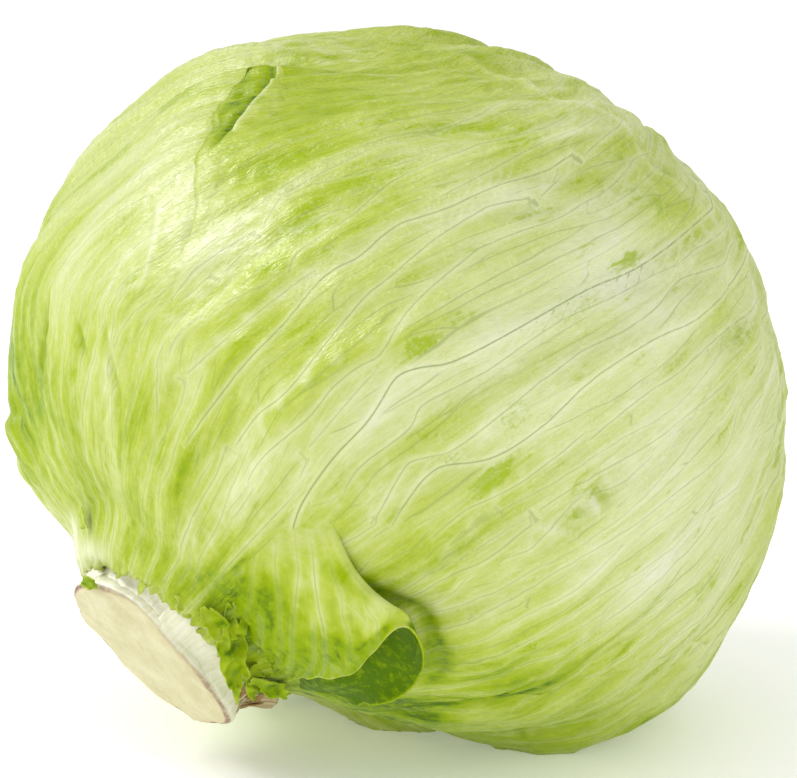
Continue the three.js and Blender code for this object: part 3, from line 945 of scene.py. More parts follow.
# Leaf skin: green by amount, blotches, streaks along the flow, fine crinkle with pale flecks, thin veins
def buildLeafSkin():
    inputs = [("Green", "value"), ("Blotch", "value"), ("Pale", "value"), ("Vein Side", "value"),
              ("Vein Near", "value"), ("Vein Weight", "value"), ("Flow", "vector"), ("Position", "vector"),
              ("Streaks", "value"), ("Crinkle", "value")]
    outputs = [("Color", "colour"), ("Roughness", "value"), ("Height", "value")]
    group, given, out = newGroup("leafSkin", inputs, outputs)
    flow = given["Flow"]
    fineStreaks = addNoise(group, flow, 1.0, (0.85, 0.06, 1), 3.0, 0.62)
    longStreaks = addNoise(group, flow, 1.0, (0.22, 0.022, 1), 2.0, 0.5)
    hairStreaks = addNoise(group, flow, 1.0, (2.4, 0.12, 1), 2.0, 0.5)
    patches = addNoise(group, flow, 1.0, (0.3, 0.09, 1), 4.0, 0.66)
    mottle = addNoise(group, given["Position"], 480.0, (1, 1, 1), 3.0, 0.62)
    grain = addNoise(group, given["Position"], 1500.0, (1, 1, 1), 2.0, 0.6)
    crinkle = addNoise(group, flow, 1.0, (0.7, 0.34, 1), 3.0, 0.66)
    shares = ((fineStreaks, 0.26), (longStreaks, 0.14), (hairStreaks, 0.16), (patches, 0.42))
    shift = addShares(group, 0.0, shares)
    shift = calculate(group, "MULTIPLY", shift, given["Streaks"])
    shift = addShares(group, shift, ((mottle, 0.3), (grain, 0.1)))
    near = given["Vein Near"]
    shift = calculate(group, "ADD", shift, fadeFrom(group, near, 0.4, 3.0, -0.03, 0.03))
    amount = calculate(group, "ADD", given["Green"], shift, clamp=True)
    ragged = addShares(group, given["Blotch"], ((patches, 0.9), (fineStreaks, 0.6), (mottle, 0.7)))
    seen = fadeFrom(group, given["Blotch"], 0.02, 0.12)
    core = calculate(group, "MULTIPLY", fadeFrom(group, ragged, 0.12, 0.42), seen)
    halo = calculate(group, "MULTIPLY", given["Blotch"], 0.7, clamp=True)
    stained = calculate(group, "MAXIMUM", calculate(group, "MULTIPLY", core, 0.84), halo)
    colour = blendColours(group, stained, addRamp(group, amount, leafTones), sRgb(*skinTones["blotch"]))

    sideways = calculate(group, "ABSOLUTE", given["Vein Side"])
    close = fadeFrom(group, near, 0.5, 0.85, 1, 0)
    line = calculate(group, "MULTIPLY", fadeFrom(group, sideways, 0.05, 0.26, 1, 0), close)
    line = calculate(group, "MULTIPLY", line, given["Vein Weight"])
    band = fadeFrom(group, sideways, 0.2, 1.3, 1, 0)
    band = calculate(group, "MULTIPLY", band, fadeFrom(group, near, 1.0, 1.7, 1, 0))
    band = calculate(group, "MULTIPLY", band, given["Vein Weight"], clamp=True)
    thin = fadeFrom(group, addVeinNet(group, flow), netVeins["line"] * 0.5, netVeins["edge"], 1, 0)
    broken = fadeFrom(group, longStreaks, 0.36, 0.56, 0.25, 1)
    thin = calculate(group, "MULTIPLY", thin, broken)
    thin = calculate(group, "MULTIPLY", thin, fadeFrom(group, near, 0.8, 2.2, 0, 1))
    bright = calculate(group, "MULTIPLY_ADD", grain, 0.5, calculate(group, "MULTIPLY", mottle, 0.5))
    flecks = calculate(group, "MULTIPLY", fadeFrom(group, bright, 0.48, 0.7, 0, 1), given["Crinkle"])
    quiet = fadeFrom(group, amount, 0.6, 0.88, 1, 0.35)
    flecks = calculate(group, "MULTIPLY", flecks, quiet)
    thin = calculate(group, "MULTIPLY", thin, quiet)
    band = calculate(group, "MULTIPLY", band, quiet)
    colour = blendColours(group, given["Pale"], colour, sRgb(*skinTones["pale"]))
    marks = (
        (flecks, 0.4, "fleck"), (band, 0.26, "besideVein"),
        (thin, 0.5, "thinVein"), (line, 0.42, "vein"),
    )
    for mask, share, tone in marks:
        share = calculate(group, "MULTIPLY", mask, share, clamp=True)
        colour = blendColours(group, share, colour, sRgb(*skinTones[tone]))
    group.links.new(colour, out["Color"])
    height = 0.0
    for bumps, share in ((mottle, 0.16), (grain, 0.05), (crinkle, 0.5)):
        height = calculate(group, "MULTIPLY_ADD", bumps, share, height)
    height = calculate(group, "MULTIPLY", height, given["Crinkle"])
    for bumps, share in ((fineStreaks, 0.09), (hairStreaks, 0.025), (line, -0.03)):
        height = calculate(group, "MULTIPLY_ADD", bumps, share, height)
    group.links.new(height, out["Height"])
    group.links.new(fadeFrom(group, mottle, 0.3, 0.75, 0.3, 0.5), out["Roughness"])
    return group


leafFinishes = {  # streaks, crinkle, specular
    "paleLeaf": (0.95, 1.0, 0.12),
    "greenLeaf": (1.0, 1.1, 0.12),
    "leafFold": (0.36, 0.6, 0.04),
    "tornLeaf": (0.4, 1.0, 0.06),
}
leafBump = 1.0


def attributeValue(tree, name, output="Fac"):
    return addNode(tree, "ShaderNodeAttribute", attribute_name=name).outputs[output]


def objectPlace(tree):
    return addNode(tree, "ShaderNodeTexCoord").outputs["Object"]


def newMaterial(name):
    material = bpy.data.materials.new(name)
    material.use_nodes = True
    tree = material.node_tree
    return material, tree, tree.nodes["Principled BSDF"]


def makeLeafMaterial(name, skin, streakShare, crinkle, specular):
    material, tree, shader = newMaterial(name)
    links = {
        "Green": attributeValue(tree, "green"), "Blotch": attributeValue(tree, "blotch"),
        "Pale": attributeValue(tree, "pale"), "Vein Side": attributeValue(tree, "veinSide"),
        "Vein Near": attributeValue(tree, "veinNear"), "Vein Weight": attributeValue(tree, "veinWeight"),
        "Flow": attributeValue(tree, "flow", "Vector"), "Position": objectPlace(tree), "Streaks": streakShare,
        "Crinkle": calculate(tree, "MULTIPLY", attributeValue(tree, "crinkle"), crinkle),
    }
    surface = tree.nodes.new("ShaderNodeGroup")
    surface.node_tree = skin
    for socket, value in links.items():
        if isinstance(value, bpy.types.NodeSocket):
            tree.links.new(value, surface.inputs[socket])
        else:
            surface.inputs[socket].default_value = value
    tree.links.new(surface.outputs["Color"], shader.inputs["Base Color"])
    tree.links.new(surface.outputs["Roughness"], shader.inputs["Roughness"])
    bump = addNode(tree, "ShaderNodeBump", {"Height": surface.outputs["Height"], "Distance": mm * leafBump})
    tree.links.new(bump.outputs["Normal"], shader.inputs["Normal"])
    shader.inputs["Specular IOR Level"].default_value = specular
    return material


# Inner leaves are hidden by the wrappers: cloudy tone and grain by place alone
heartTones = ((0.3, (242, 240, 196)), (0.5, (234, 234, 168)), (0.7, (214, 224, 132)))


def makeHeartMaterial():
    material, tree, shader = newMaterial("heartLeaf")
    place = objectPlace(tree)
    cloud = addNoise(tree, place, 60.0, (1, 1, 1), 4.0, 0.6)
    grain = addNoise(tree, place, 500.0, (1, 1, 1), 4.0, 0.6)
    amount = calculate(tree, "MULTIPLY_ADD", grain, 0.3, calculate(tree, "MULTIPLY", cloud, 0.7))
    tree.links.new(addRamp(tree, amount, heartTones), shader.inputs["Base Color"])
    tree.links.new(fadeFrom(tree, grain, 0.3, 0.7, 0.34, 0.5), shader.inputs["Roughness"])
    bump = addNode(tree, "ShaderNodeBump", {"Height": amount, "Distance": 0.6 * mm})
    tree.links.new(bump.outputs["Normal"], shader.inputs["Normal"])
    return material


# Cut and torn flesh: cream face, white sides, brown where it has dried. Attributes give the share of
# cut face, the mm to the cut rim, how browned it is, and the flow of its fibres
fleshTones = {
    "face": ((0.3, (196, 188, 138)), (0.52, (213, 206, 162)), (0.72, (228, 223, 190))),
    "side": ((0.3, (218, 216, 172)), (0.5, (234, 232, 204)), (0.7, (244, 243, 226))),
    "rim": (126, 72, 54),
    "besideRim": (206, 180, 136),
    "dried": (150, 118, 58),
}


def makeFleshMaterial():
    material, tree, shader = newMaterial("stemFlesh")
    place = objectPlace(tree)
    flow = attributeValue(tree, "flow", "Vector")
    cloud = addNoise(tree, place, 140.0, (1, 1, 1), 4.0, 0.55)
    grain = addNoise(tree, place, 900.0, (1, 1, 1), 4.0, 0.6)
    fibres = addNoise(tree, flow, 1.0, (1.1, 0.1, 1), 4.0, 0.6)
    mixed = calculate(tree, "MULTIPLY_ADD", grain, 0.3, calculate(tree, "MULTIPLY", cloud, 0.75))
    lengthwise = calculate(tree, "MULTIPLY_ADD", grain, 0.2, calculate(tree, "MULTIPLY", fibres, 0.8))
    face = addRamp(tree, mixed, fleshTones["face"])
    side = addRamp(tree, lengthwise, fleshTones["side"])
    cut = attributeValue(tree, "cutFace")
    colour = blendColours(tree, cut, side, face)
    fromRim = calculate(tree, "ABSOLUTE", attributeValue(tree, "rim"))
    browned = attributeValue(tree, "browned")
    wander = calculate(tree, "MULTIPLY_ADD", cloud, 0.8, -0.3)
    stain = fadeFrom(tree, calculate(tree, "SUBTRACT", fromRim, wander), 0.0, 0.7, 1, 0)
    stain = calculate(tree, "MULTIPLY", stain, fadeFrom(tree, grain, 0.35, 0.6, 0.5, 1), clamp=True)
    stain = calculate(tree, "MULTIPLY", stain, browned, clamp=True)
    tinge = fadeFrom(tree, fromRim, 0.3, 2.6, 0.3, 0)
    tinge = calculate(tree, "MULTIPLY", tinge, calculate(tree, "MULTIPLY", browned, cut))
    colour = blendColours(tree, tinge, colour, sRgb(*fleshTones["besideRim"]))
    colour = blendColours(tree, calculate(tree, "MULTIPLY", stain, 0.95), colour, sRgb(*fleshTones["rim"]))
    dried = addShares(tree, attributeValue(tree, "dried"), ((fibres, 0.9),))
    dried = fadeFrom(tree, dried, 0.25, 0.75)
    colour = blendColours(tree, dried, colour, sRgb(*fleshTones["dried"]))
    tree.links.new(colour, shader.inputs["Base Color"])
    tree.links.new(fadeFrom(tree, mixed, 0.3, 0.8, 0.4, 0.6), shader.inputs["Roughness"])
    height = calculate(tree, "MULTIPLY_ADD", lengthwise, calculate(tree, "SUBTRACT", 1.0, cut), mixed)
    bump = addNode(tree, "ShaderNodeBump", {"Height": height, "Distance": 0.35 * mm})
    tree.links.new(bump.outputs["Normal"], shader.inputs["Normal"])
    return material


leafSkin = buildLeafSkin()
finishes = {name: makeLeafMaterial(name, leafSkin, *values) for name, values in leafFinishes.items()}
finishes["flesh"] = makeFleshMaterial()
print("materials made")

heartMaterial = makeHeartMaterial()
for node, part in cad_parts.items():
    if node.startswith("heart"):
        part.data.materials.clear()
        part.data.materials.append(heartMaterial)

paleLeaves = ("frontLeaf", "underLeaf", "leftLeaf")
above = []
for name, leaf in wrapperLeaves.items():
    slot, finish = ("pale_leaf", "paleLeaf") if name in paleLeaves else ("green_leaf", "greenLeaf")
    makeWrapperLeaf(name, leaf, above, slot, finishes[finish])
    above.append(leaf)
    print("leaf", name)


# The front leaf's pleat: by the stem the leaf folds over itself, a front layer that turns back
# under at its edge and leaves an open pocket below. Rows run from its top to its free margin and
# columns from the left seam over the front layer, round the edge and back; polar, side, height
foldNet = (
    ((45, 4, -0.9), (46.5, 0.5, -0.8), (48, -2, -0.7), (49.5, -4.5, -0.6), (51, -6.5, -0.5), (50, -7, -1.2),
     (49, -7, -1.6), (48, -6.5, -1.7), (47.5, -6, -1.8), (47, -5.5, -1.8), (46.5, -5, -1.8)),
    ((39.5, 2, -0.9), (41.5, -3.5, -0.4), (44.5, -8, 0.1), (47, -11.5, 0.7), (49.5, -13.5, 1.3),
     (48.5, -15, 0.1), (47.5, -15, -0.3), (46, -14, -0.6), (45, -13.5, -0.7), (44, -12.5, -0.8),
     (43, -11.5, -0.8)),
    ((31.5, -3, -0.9), (35, -11, 0.3), (39.5, -16, 1.4), (44.5, -19.5, 3.2), (49.5, -21.5, 4.2),
     (48, -24.5, 1.6), (46.5, -26, 0.4), (44, -26, 0), (42, -25.5, -0.3), (39.5, -24.5, -0.4),
     (37, -23, -0.4)),
    ((19.5, -20.5, -0.5), (28, -24, 1), (34.5, -27, 2.4), (42.5, -27, 5), (51, -25, 7), (50.5, -30, 3.6),
     (48, -36, 1), (44, -39, 0.4), (38.5, -41, 0.2), (31, -44.5, 0.2), (19.5, -71, 0.2)),
    ((13.5, -120, 0.6), (21.5, -42.5, 1.2), (32, -35, 2.6), (41, -32, 5.4), (50, -26, 7.6), (51, -30.5, 4.8),
     (48.5, -38.5, 2), (43.5, -45, 1), (37, -50, 0.6), (27.5, -61.5, 0.5), (23.5, -123.5, 0.5)),
    ((20, -131, 1), (21, -116, 1.4), (29.5, -42.5, 2.8), (39.5, -36.5, 5.6), (49, -28, 8), (51, -30.5, 6),
     (49.5, -39, 3.6), (44.5, -49, 2.2), (36, -58.5, 1.4), (29.5, -114.5, 1.2), (22.5, -124.5, 1.2)),
)
leafFold = {
    "cells": (180, 116), "thickness": 0.5, "seed": 140, "ripple": 0.12, "marginRipple": 0.15,
    "edgeColumn": 4.4,
    "green": (  # column, row, spread of each, change, partly painted shade low down and in the pocket
        (1.2, 3.7, 1.6, 1.2, 0.42), (0.4, 4.2, 0.9, 0.9, 0.3), (2.4, 4.4, 1.3, 0.8, 0.4),
        (3.4, 1.3, 0.5, 0.5, 0.3), (2.8, 3.2, 0.35, 0.8, 0.12),
        (0.9, 2.4, 0.8, 0.6, 0.32), (3.6, 4.5, 0.6, 0.6, 0.3), (3.7, 3.0, 0.5, 0.8, -0.06),
        (2.8, 1.9, 0.5, 0.5, -0.06),
    ),
    "dent": (1.0, 4.0, 0.3, 0.26, -1.6, 0.5),  # column, row, spread of each, depth, change in green (painted shade)
}


def netPoints(net):
    places = np.array(net, float)
    directions = unit(headDirection(places[..., 0], places[..., 1]))
    return headCentre + directions * (headRadius(directions) + places[..., 2])[..., None]


def makeLeafFold():
    fold = leafFold
    piece = addSheet("frontLeafFold", fold["cells"])
    grid = meshPoints(piece)
    net = netPoints(foldNet)
    lastColumn, lastRow = net.shape[1] - 1, net.shape[0] - 1
    across, along = (grid[:, 0] + 1) / 2 * lastColumn, (grid[:, 1] + 1) / 2 * lastRow
    points = netSurface(net, across, along)
    directions = unit(points - headCentre)
    fields = surfaceFields(directions)
    loose = smoothStep(along, 0.5, 3)
    ripple = fold["ripple"] * loose * waves(points, fold["seed"], 5, 14)
    hem = loose * smoothStep(along, lastRow - 0.8, lastRow)
    margin = fold["marginRipple"] * hem * waves(points, fold["seed"] + 1, 4, 9)
    inner = smoothStep(across, fold["edgeColumn"], fold["edgeColumn"] + 0.8)

    def place(column, row):
        return netSurface(net, column, row)

    starts = np.linspace(0.4, 3.9, 6)
    veins = growVeins(place, 0.1, lastRow, starts, fold["seed"], splitScale=0.9)
    signed, near, strength = nearestVein(veins, points)
    column, row, wide, tall, depth, dentShade = fold["dent"]
    dent = hill(across - column, wide) * hill(along - row, tall)
    crumple = smoothStep(hill(across - column, 3 * wide) * hill(along - row, 3 * tall), 0.1, 0.8)
    seam = (1 - smoothStep(along, 0.9, 2.4)) * fields["lift"]
    lift = seam + ripple + margin + depth * dent + 0.5 * crumple * waves(points, fold["seed"] + 3, 2, 5)
    setPoints(piece, points + directions * lift[:, None])
    green = relief["baseGreen"] + 0.1 + 0.04 * waves(points, fold["seed"] + 2, 3, 9)
    # the turned-under layer is made much greener, partly its own tone and mostly painted shade inside the
    # pocket; the dent is greener as painted shade in its hollow
    green = green + 0.56 * inner + dentShade * dent
    for column, row, wide, tall, change in fold["green"]:
        green += change * hill(across - column, wide) * hill(along - row, tall)
    shared = np.maximum(1 - smoothStep(across, 0.1, 1.0), 1 - smoothStep(along, 0.5, 1.8)) * (1 - inner)
    leafFlow = flowPlace(fanMap(wrapperLeaves["frontLeaf"]["side"], leafBuild["veinMiddle"]), directions)
    flow = np.stack([across * 7, along * 9, np.zeros(len(across))], -1)
    flow += (leafFlow - flow)[shared > 0.9].mean(0)
    flow += (leafFlow - flow) * shared[:, None]
    green += (fields["green"] - green) * shared
    green = np.minimum(green, relief["mostGreen"] + 0.12 * inner) - 0.2 * hill(along - lastRow, 0.07)
    faceOutwards(piece, fromHead)
    storeFields(piece, {
        "green": green, "blotch": fields["blotch"] * shared, "pale": fields["pale"] * shared,
        "crinkle": 0.3 - 0.15 * inner, "veinSide": signed, "veinNear": near + (0.9 - near) * inner,
        "veinWeight": strength * (1 - 0.8 * shared) * (1 - inner), "flow": flow,
    })
    thicken(piece, fold["thickness"])
    return finishPiece(piece, "pale_leaf", finishes["leafFold"])


# The bright lip to the right of the crease: rows run along it, columns from its free edge back into
# the leaf
flapNet = (
    ((83.0, 44.6, -0.9), (83.0, 43.6, -1.0), (83.0, 42.4, -1.3), (83.0, 41, -1.8)),
    ((85.0, 45.3, 0.1), (85.0, 44.0, 0.0), (85.0, 42.2, -0.4), (85.0, 40.5, -1.6)),
    ((87.6, 45.8, 0.5), (87.6, 44.3, 0.35), (87.6, 42.2, -0.2), (87.6, 40, -1.6)),
    ((91.0, 47.3, 0.6), (91.0, 45.8, 0.4), (91.0, 43.6, -0.2), (91.0, 41.4, -1.6)),
    ((94.4, 48.9, 0.5), (94.4, 47.4, 0.3), (94.4, 45.4, -0.2), (94.4, 43.4, -1.6)),
    ((98.4, 51.2, 0.3), (98.4, 49.9, 0.2), (98.4, 48.2, -0.3), (98.4, 46.4, -1.6)),
    ((102.8, 54.3, 0.1), (102.8, 53.3, 0.0), (102.8, 52, -0.5), (102.8, 50.6, -1.6)),
    ((107, 57.4, -0.9), (107, 56.6, -1.0), (107, 55.6, -1.3), (107, 54.6, -1.8)),
)
creaseFlap = {"cells": (40, 130), "thickness": 0.3, "seed": 180}


def makeCreaseFlap():
    piece = addSheet("creaseFlap", creaseFlap["cells"])
    grid = meshPoints(piece)
    net = netPoints(flapNet)
    across, along = (grid[:, 0] + 1) / 2 * (net.shape[1] - 1), (grid[:, 1] + 1) / 2 * (net.shape[0] - 1)
    points = netSurface(net, across, along)
    directions = unit(points - headCentre)
    fields = surfaceFields(directions)
    edge = hill(across, 0.35)
    lift = np.maximum(fields["lift"], -0.15) + 0.1 * waves(points, creaseFlap["seed"], 3, 9)
    setPoints(piece, points + directions * lift[:, None])
    leaf = wrapperLeaves["frontLeaf"]
    flow = flowPlace(fanMap(leaf["side"], leafBuild["veinMiddle"]), directions)
    unstroked = relief["baseGreen"] + 0.12 + 0.04 * waves(points, creaseFlap["seed"] + 1, 2, 6)
    storeFields(piece, {
        # the lip's free edge is paler and less green, partly the leaf's pale edge and partly a painted
        # highlight on the raised lip
        "green": unstroked - 0.2 * edge, "blotch": fields["blotch"], "pale": 0.3 * edge,
        "crinkle": fields["crinkle"], **noVeins(points), "flow": flow,
    })
    faceOutwards(piece, fromHead)
    thicken(piece, creaseFlap["thickness"])
    return finishPiece(piece, "pale_leaf", finishes["paleLeaf"])


makeLeafFold()
makeCreaseFlap()
print("pleat and lip made")

# The stem: a cream cut face with a thin brown rim, on a short neck
stem = {
    "cells": (150, 90), "oval": 0.94, "seed": 160, "samples": 600, "rimRadius": 19,
    "profile": (  # distance along the stem from the head's centre, radius
        (78.5, 0.0), (78.6, 6.0), (78.8, 12.0), (78.8, 17.0), (78.5, 18.4), (77.8, 19.0),
        (75.0, 18.4), (71.0, 17.4), (64.0, 16.0), (52.0, 12.0), (40.0, 6.0), (34.0, 0.0),
    ),
    "rimPlace": 4.4,  # where along the profile's points the rim is
    "rimDips": ((30, 40, -2.6), (-42, 26, -1.4), (-150, 60, 0.3)),  # side, spread, shift along the stem in mm
    "rimBulges": ((-68, 15, 3.4), (100, 30, 0.8), (-110, 14, -0.6)),  # shift outwards
    "ridges": 0.3,
    "dried": (0.5, -75, 12, 6, 5),  # share, side, spread, mm in from the rim, spread
    "browned": (1.2, 0.9, 8, 66),  # share round the rim, less about a side, spread
}


def makeStem():
    piece = addSheet("stemButt", stem["cells"])
    grid = meshPoints(piece)
    side, down = grid[:, 0] * 180, (grid[:, 1] + 1) / 2
    turn = np.radians(side)
    last = len(stem["profile"]) - 1
    samples = stem["samples"]
    profile = curveThrough(stem["profile"], samples)
    stretch = stem["rimPlace"] / last
    place = np.where(down < 0.5, stretch * (1 - (1 - 2 * down) ** 1.6),
                     stretch + (1 - stretch) * np.clip(2 * down - 1, 0, 1) ** 1.6)
    counted, profileAt = np.arange(samples), place * (samples - 1)
    along = np.interp(profileAt, counted, profile[:, 0])
    radius = np.maximum(np.interp(profileAt, counted, profile[:, 1]), 0)
    steps = np.linalg.norm(np.diff(profile, axis=0), axis=1)
    lengths = np.concatenate([[0], np.cumsum(steps)])
    rimAt = stretch * (samples - 1)
    rim = np.interp(profileAt, counted, lengths) - np.interp(rimAt, counted, lengths)
    share = radius / stem["rimRadius"]
    ring = np.stack([np.cos(turn) * 3, np.sin(turn) * 3, along * 0.05], -1)
    radius = radius * (1 + 0.025 * waves(ring, stem["seed"], 2.4, 7))
    lengthwise = np.stack([np.cos(turn) * 12, np.sin(turn) * 12, along * 0.12], -1)
    sideWall = smoothStep(rim, 0, 2)
    radius = radius + stem["ridges"] * sideWall * waves(lengthwise, stem["seed"] + 1, 2.5, 8)
    flat = np.stack([np.cos(turn) * radius, np.sin(turn) * radius, along * 0.3], -1)
    cutFace = 1 - smoothStep(rim, -0.3, 0.5)
    nearRim = share * smoothStep(along, 68, 77)
    for middle, spread, shift in stem["rimDips"]:
        along = along + shift * hill(sideFrom(side, middle), spread) * nearRim
    for middle, spread, shift in stem["rimBulges"]:
        radius = radius + shift * hill(sideFrom(side, middle), spread) * nearRim
    sawn = 0.25 * waves(flat, stem["seed"] + 2, 8, 20) + 0.06 * waves(flat, stem["seed"] + 3, 1.5, 4)
    along = along + cutFace * sawn
    outward = np.multiply.outer(np.cos(turn) * radius * stem["oval"], faceAxis)
    outward += np.multiply.outer(np.sin(turn) * radius, turnAxis)
    setPoints(piece, headCentre + np.multiply.outer(along, stemAxis) + outward)
    share, middle, spread, inwards, depth = stem["dried"]
    driedSpot = share * hill(sideFrom(side, middle), spread) * hill(rim - inwards, depth)
    most, less, middle, spread = stem["browned"]
    storeFields(piece, {
        "rim": rim, "cutFace": cutFace, "dried": driedSpot,
        "browned": most - less * hill(sideFrom(side, middle), spread),
        "flow": np.stack([side * 0.33, rim, np.zeros(len(side))], -1),
    })
    selectOnly(piece)
    bpy.ops.object.mode_set(mode="EDIT")
    bpy.ops.mesh.select_all(action="SELECT")
    bpy.ops.mesh.remove_doubles(threshold=1e-5)
    bpy.ops.mesh.normals_make_consistent(inside=False)
    bpy.ops.object.mode_set(mode="OBJECT")
    bpy.ops.object.shade_smooth()
    return finishPiece(piece, "stem_flesh", finishes["flesh"], "core_stem")


makeStem()
print("stem made")

# Trimmed leaf bases: white ribbed flesh that flares from the stem's rim to under the leaves
leafBases = (
    {"name": "leafBaseFront", "replaces": "leaf_base_1", "sides": (-72, 14), "start": 77.6, "seed": 171,
     "dried": 0.0},
    {"name": "leafBaseUpper", "replaces": "leaf_base_2", "sides": (6, 92), "start": 76.6, "seed": 172,
     "dried": 0.0},
    {"name": "leafBaseLeft", "replaces": "leaf_base_3", "sides": (86, 176), "start": 77.2, "seed": 173,
     "dried": 0.1},
    {"name": "leafBaseUnder", "replaces": "leaf_base_4", "sides": (-180, -66), "start": 77.0, "seed": 174,
     "dried": 0.6},
)
baseBuild = {
    "cells": (64, 30), "thickness": 0.7,
    "profile": ((0, 18.9), (2.2, 19.5), (4.4, 20.6), (7.0, 22.6), (9.6, 26.0)),  # down from its start, radius
    "flare": (1.2, -2, 48),  # further out above the stem: mm, side, spread
    "rib": 0.12, "torn": 0.14, "samples": 200,
}


def fromStem(points):
    offset = points - headCentre
    return offset - np.multiply.outer(offset @ stemAxis, stemAxis)


def makeLeafBase(base):
    build = baseBuild
    piece = addSheet(base["name"], build["cells"])
    grid = meshPoints(piece)
    low, high = base["sides"]
    side = low + (high - low) * (grid[:, 0] + 1) / 2
    samples = build["samples"]
    profile = curveThrough(build["profile"], samples)
    counted, profileAt = np.arange(samples), (grid[:, 1] + 1) / 2 * (samples - 1)
    down = np.interp(profileAt, counted, profile[:, 0])
    radius = np.interp(profileAt, counted, profile[:, 1])
    turn = np.radians(side)
    lengthwise = np.stack([np.cos(turn) * 12, np.sin(turn) * 12, down * 0.1], -1)
    radius = radius + build["rib"] * waves(lengthwise, base["seed"], 2.0, 6) * smoothStep(down, 0, 2)
    for middle, spread, shift in stem["rimBulges"]:
        radius = radius + shift * hill(sideFrom(side, middle), spread) * (1 - smoothStep(down, 0, 6))
    flare, middle, spread = build["flare"]
    radius = radius + flare * hill(sideFrom(side, middle), spread) * smoothStep(down, 1, 5)
    ends = 1 - smoothStep(np.minimum(side - low, high - side), 0, 6)
    start = base["start"] + build["torn"] * waves(lengthwise * [1, 1, 0], base["seed"] + 10, 1.5, 5)
    for middle, spread, shift in stem["rimDips"]:
        start = start + shift * hill(sideFrom(side, middle), spread) * (1 - smoothStep(down, 1, 7))
    along = start - down - 1.2 * ends
    radius = radius - 0.5 * ends
    outward = np.multiply.outer(np.cos(turn) * radius * stem["oval"], faceAxis)
    outward += np.multiply.outer(np.sin(turn) * radius, turnAxis)
    setPoints(piece, headCentre + np.multiply.outer(along, stemAxis) + outward)
    faceOutwards(piece, fromStem)
    storeFields(piece, {
        "rim": 0.6 + down, "cutFace": 0 * down, "dried": base["dried"] + 0 * down, "browned": 0.3 + 0 * down,
        "flow": np.stack([side * 0.33, down, np.zeros(len(side))], -1),
    })
    thicken(piece, build["thickness"])
    return finishPiece(piece, "leaf_base", finishes["flesh"], base["replaces"])


for base in leafBases:
    makeLeafBase(base)
print("leaf bases made")

# Torn scraps left round the stem: small crumpled or curled sheets, each at a place on the stem
# (along, radius, side), with half length and half width, turn in degrees from the way the leaf
# grows, tilt off the surface, curl radius (0 is flat) and crumple, in mm
scraps = (
    {"name": "crumpledScrap", "at": (71.2, 26.4, -27), "half": (9.6, 3.0), "turn": 58, "tilt": 2,
     "curl": 16.0, "crumple": 1.1, "green": 0.82, "seed": 201, "cells": (80, 44)},
    {"name": "crumpledTip", "at": (70.6, 25.6, -48), "half": (5.0, 2.1), "turn": 76, "tilt": 2, "curl": 9.0,
     "crumple": 0.6, "green": 0.82, "seed": 202, "cells": (50, 30)},
    {"name": "underSheet", "at": (69.4, 27.4, -54), "half": (6.5, 2.0), "turn": -60, "tilt": 2, "curl": 7.0,
     "crumple": 0.4, "green": 0.84, "seed": 218, "cells": (56, 26)},
    {"name": "crumpledEdge", "at": (70.4, 27.6, -12), "half": (4.6, 2.2), "turn": 84, "tilt": 10, "curl": 5.0,
     "crumple": 0.6, "green": 0.8, "seed": 208, "cells": (40, 26)},
    {"name": "curledScrap", "at": (77.7, 21.0, 61), "half": (3.0, 1.7), "turn": 84, "tilt": 0, "curl": 0.85,
     "crumple": 0.05, "green": 0.84, "seed": 213, "cells": (36, 36)},
    {"name": "frillOne", "at": (71.7, 23.8, 17), "half": (2.4, 1.5), "turn": 14, "tilt": 30, "curl": 2.2,
     "crumple": 0.5, "green": 0.66, "seed": 204, "cells": (26, 20)},
    {"name": "frillTwo", "at": (71.4, 24.2, 3), "half": (2.2, 1.2), "turn": 66, "tilt": 26, "curl": 2.4,
     "crumple": 0.5, "green": 0.68, "seed": 215, "cells": (26, 20)},
    {"name": "frillThree", "at": (73.0, 21.6, 28), "half": (1.8, 0.9), "turn": 20, "tilt": 16, "curl": 2.0,
     "crumple": 0.4, "green": 0.6, "seed": 206, "cells": (24, 16)},
    {"name": "tornEdge", "at": (68.6, 29.4, 74), "half": (2.8, 1.5), "turn": 30, "tilt": 24, "curl": 2.0,
     "crumple": 0.4, "green": 0.6, "seed": 207, "cells": (28, 20)},
)
# Brown dried fibres under the stem's lower corner: place on the stem, half length, half width, turn
fibres = (
    (73.4, 20.6, -64, 4.4, 1.4, 24), (72.8, 20.8, -74, 4.6, 1.2, 6), (72.6, 20.4, -84, 3.6, 1.0, -10),
    (71.4, 22.6, -58, 4.0, 1.2, 46), (71.4, 21.8, -90, 3.6, 0.8, 20), (70.4, 24.6, -66, 3.4, 0.7, 34),
)
scrapBuild = {"thickness": 0.35, "ragged": 0.15}


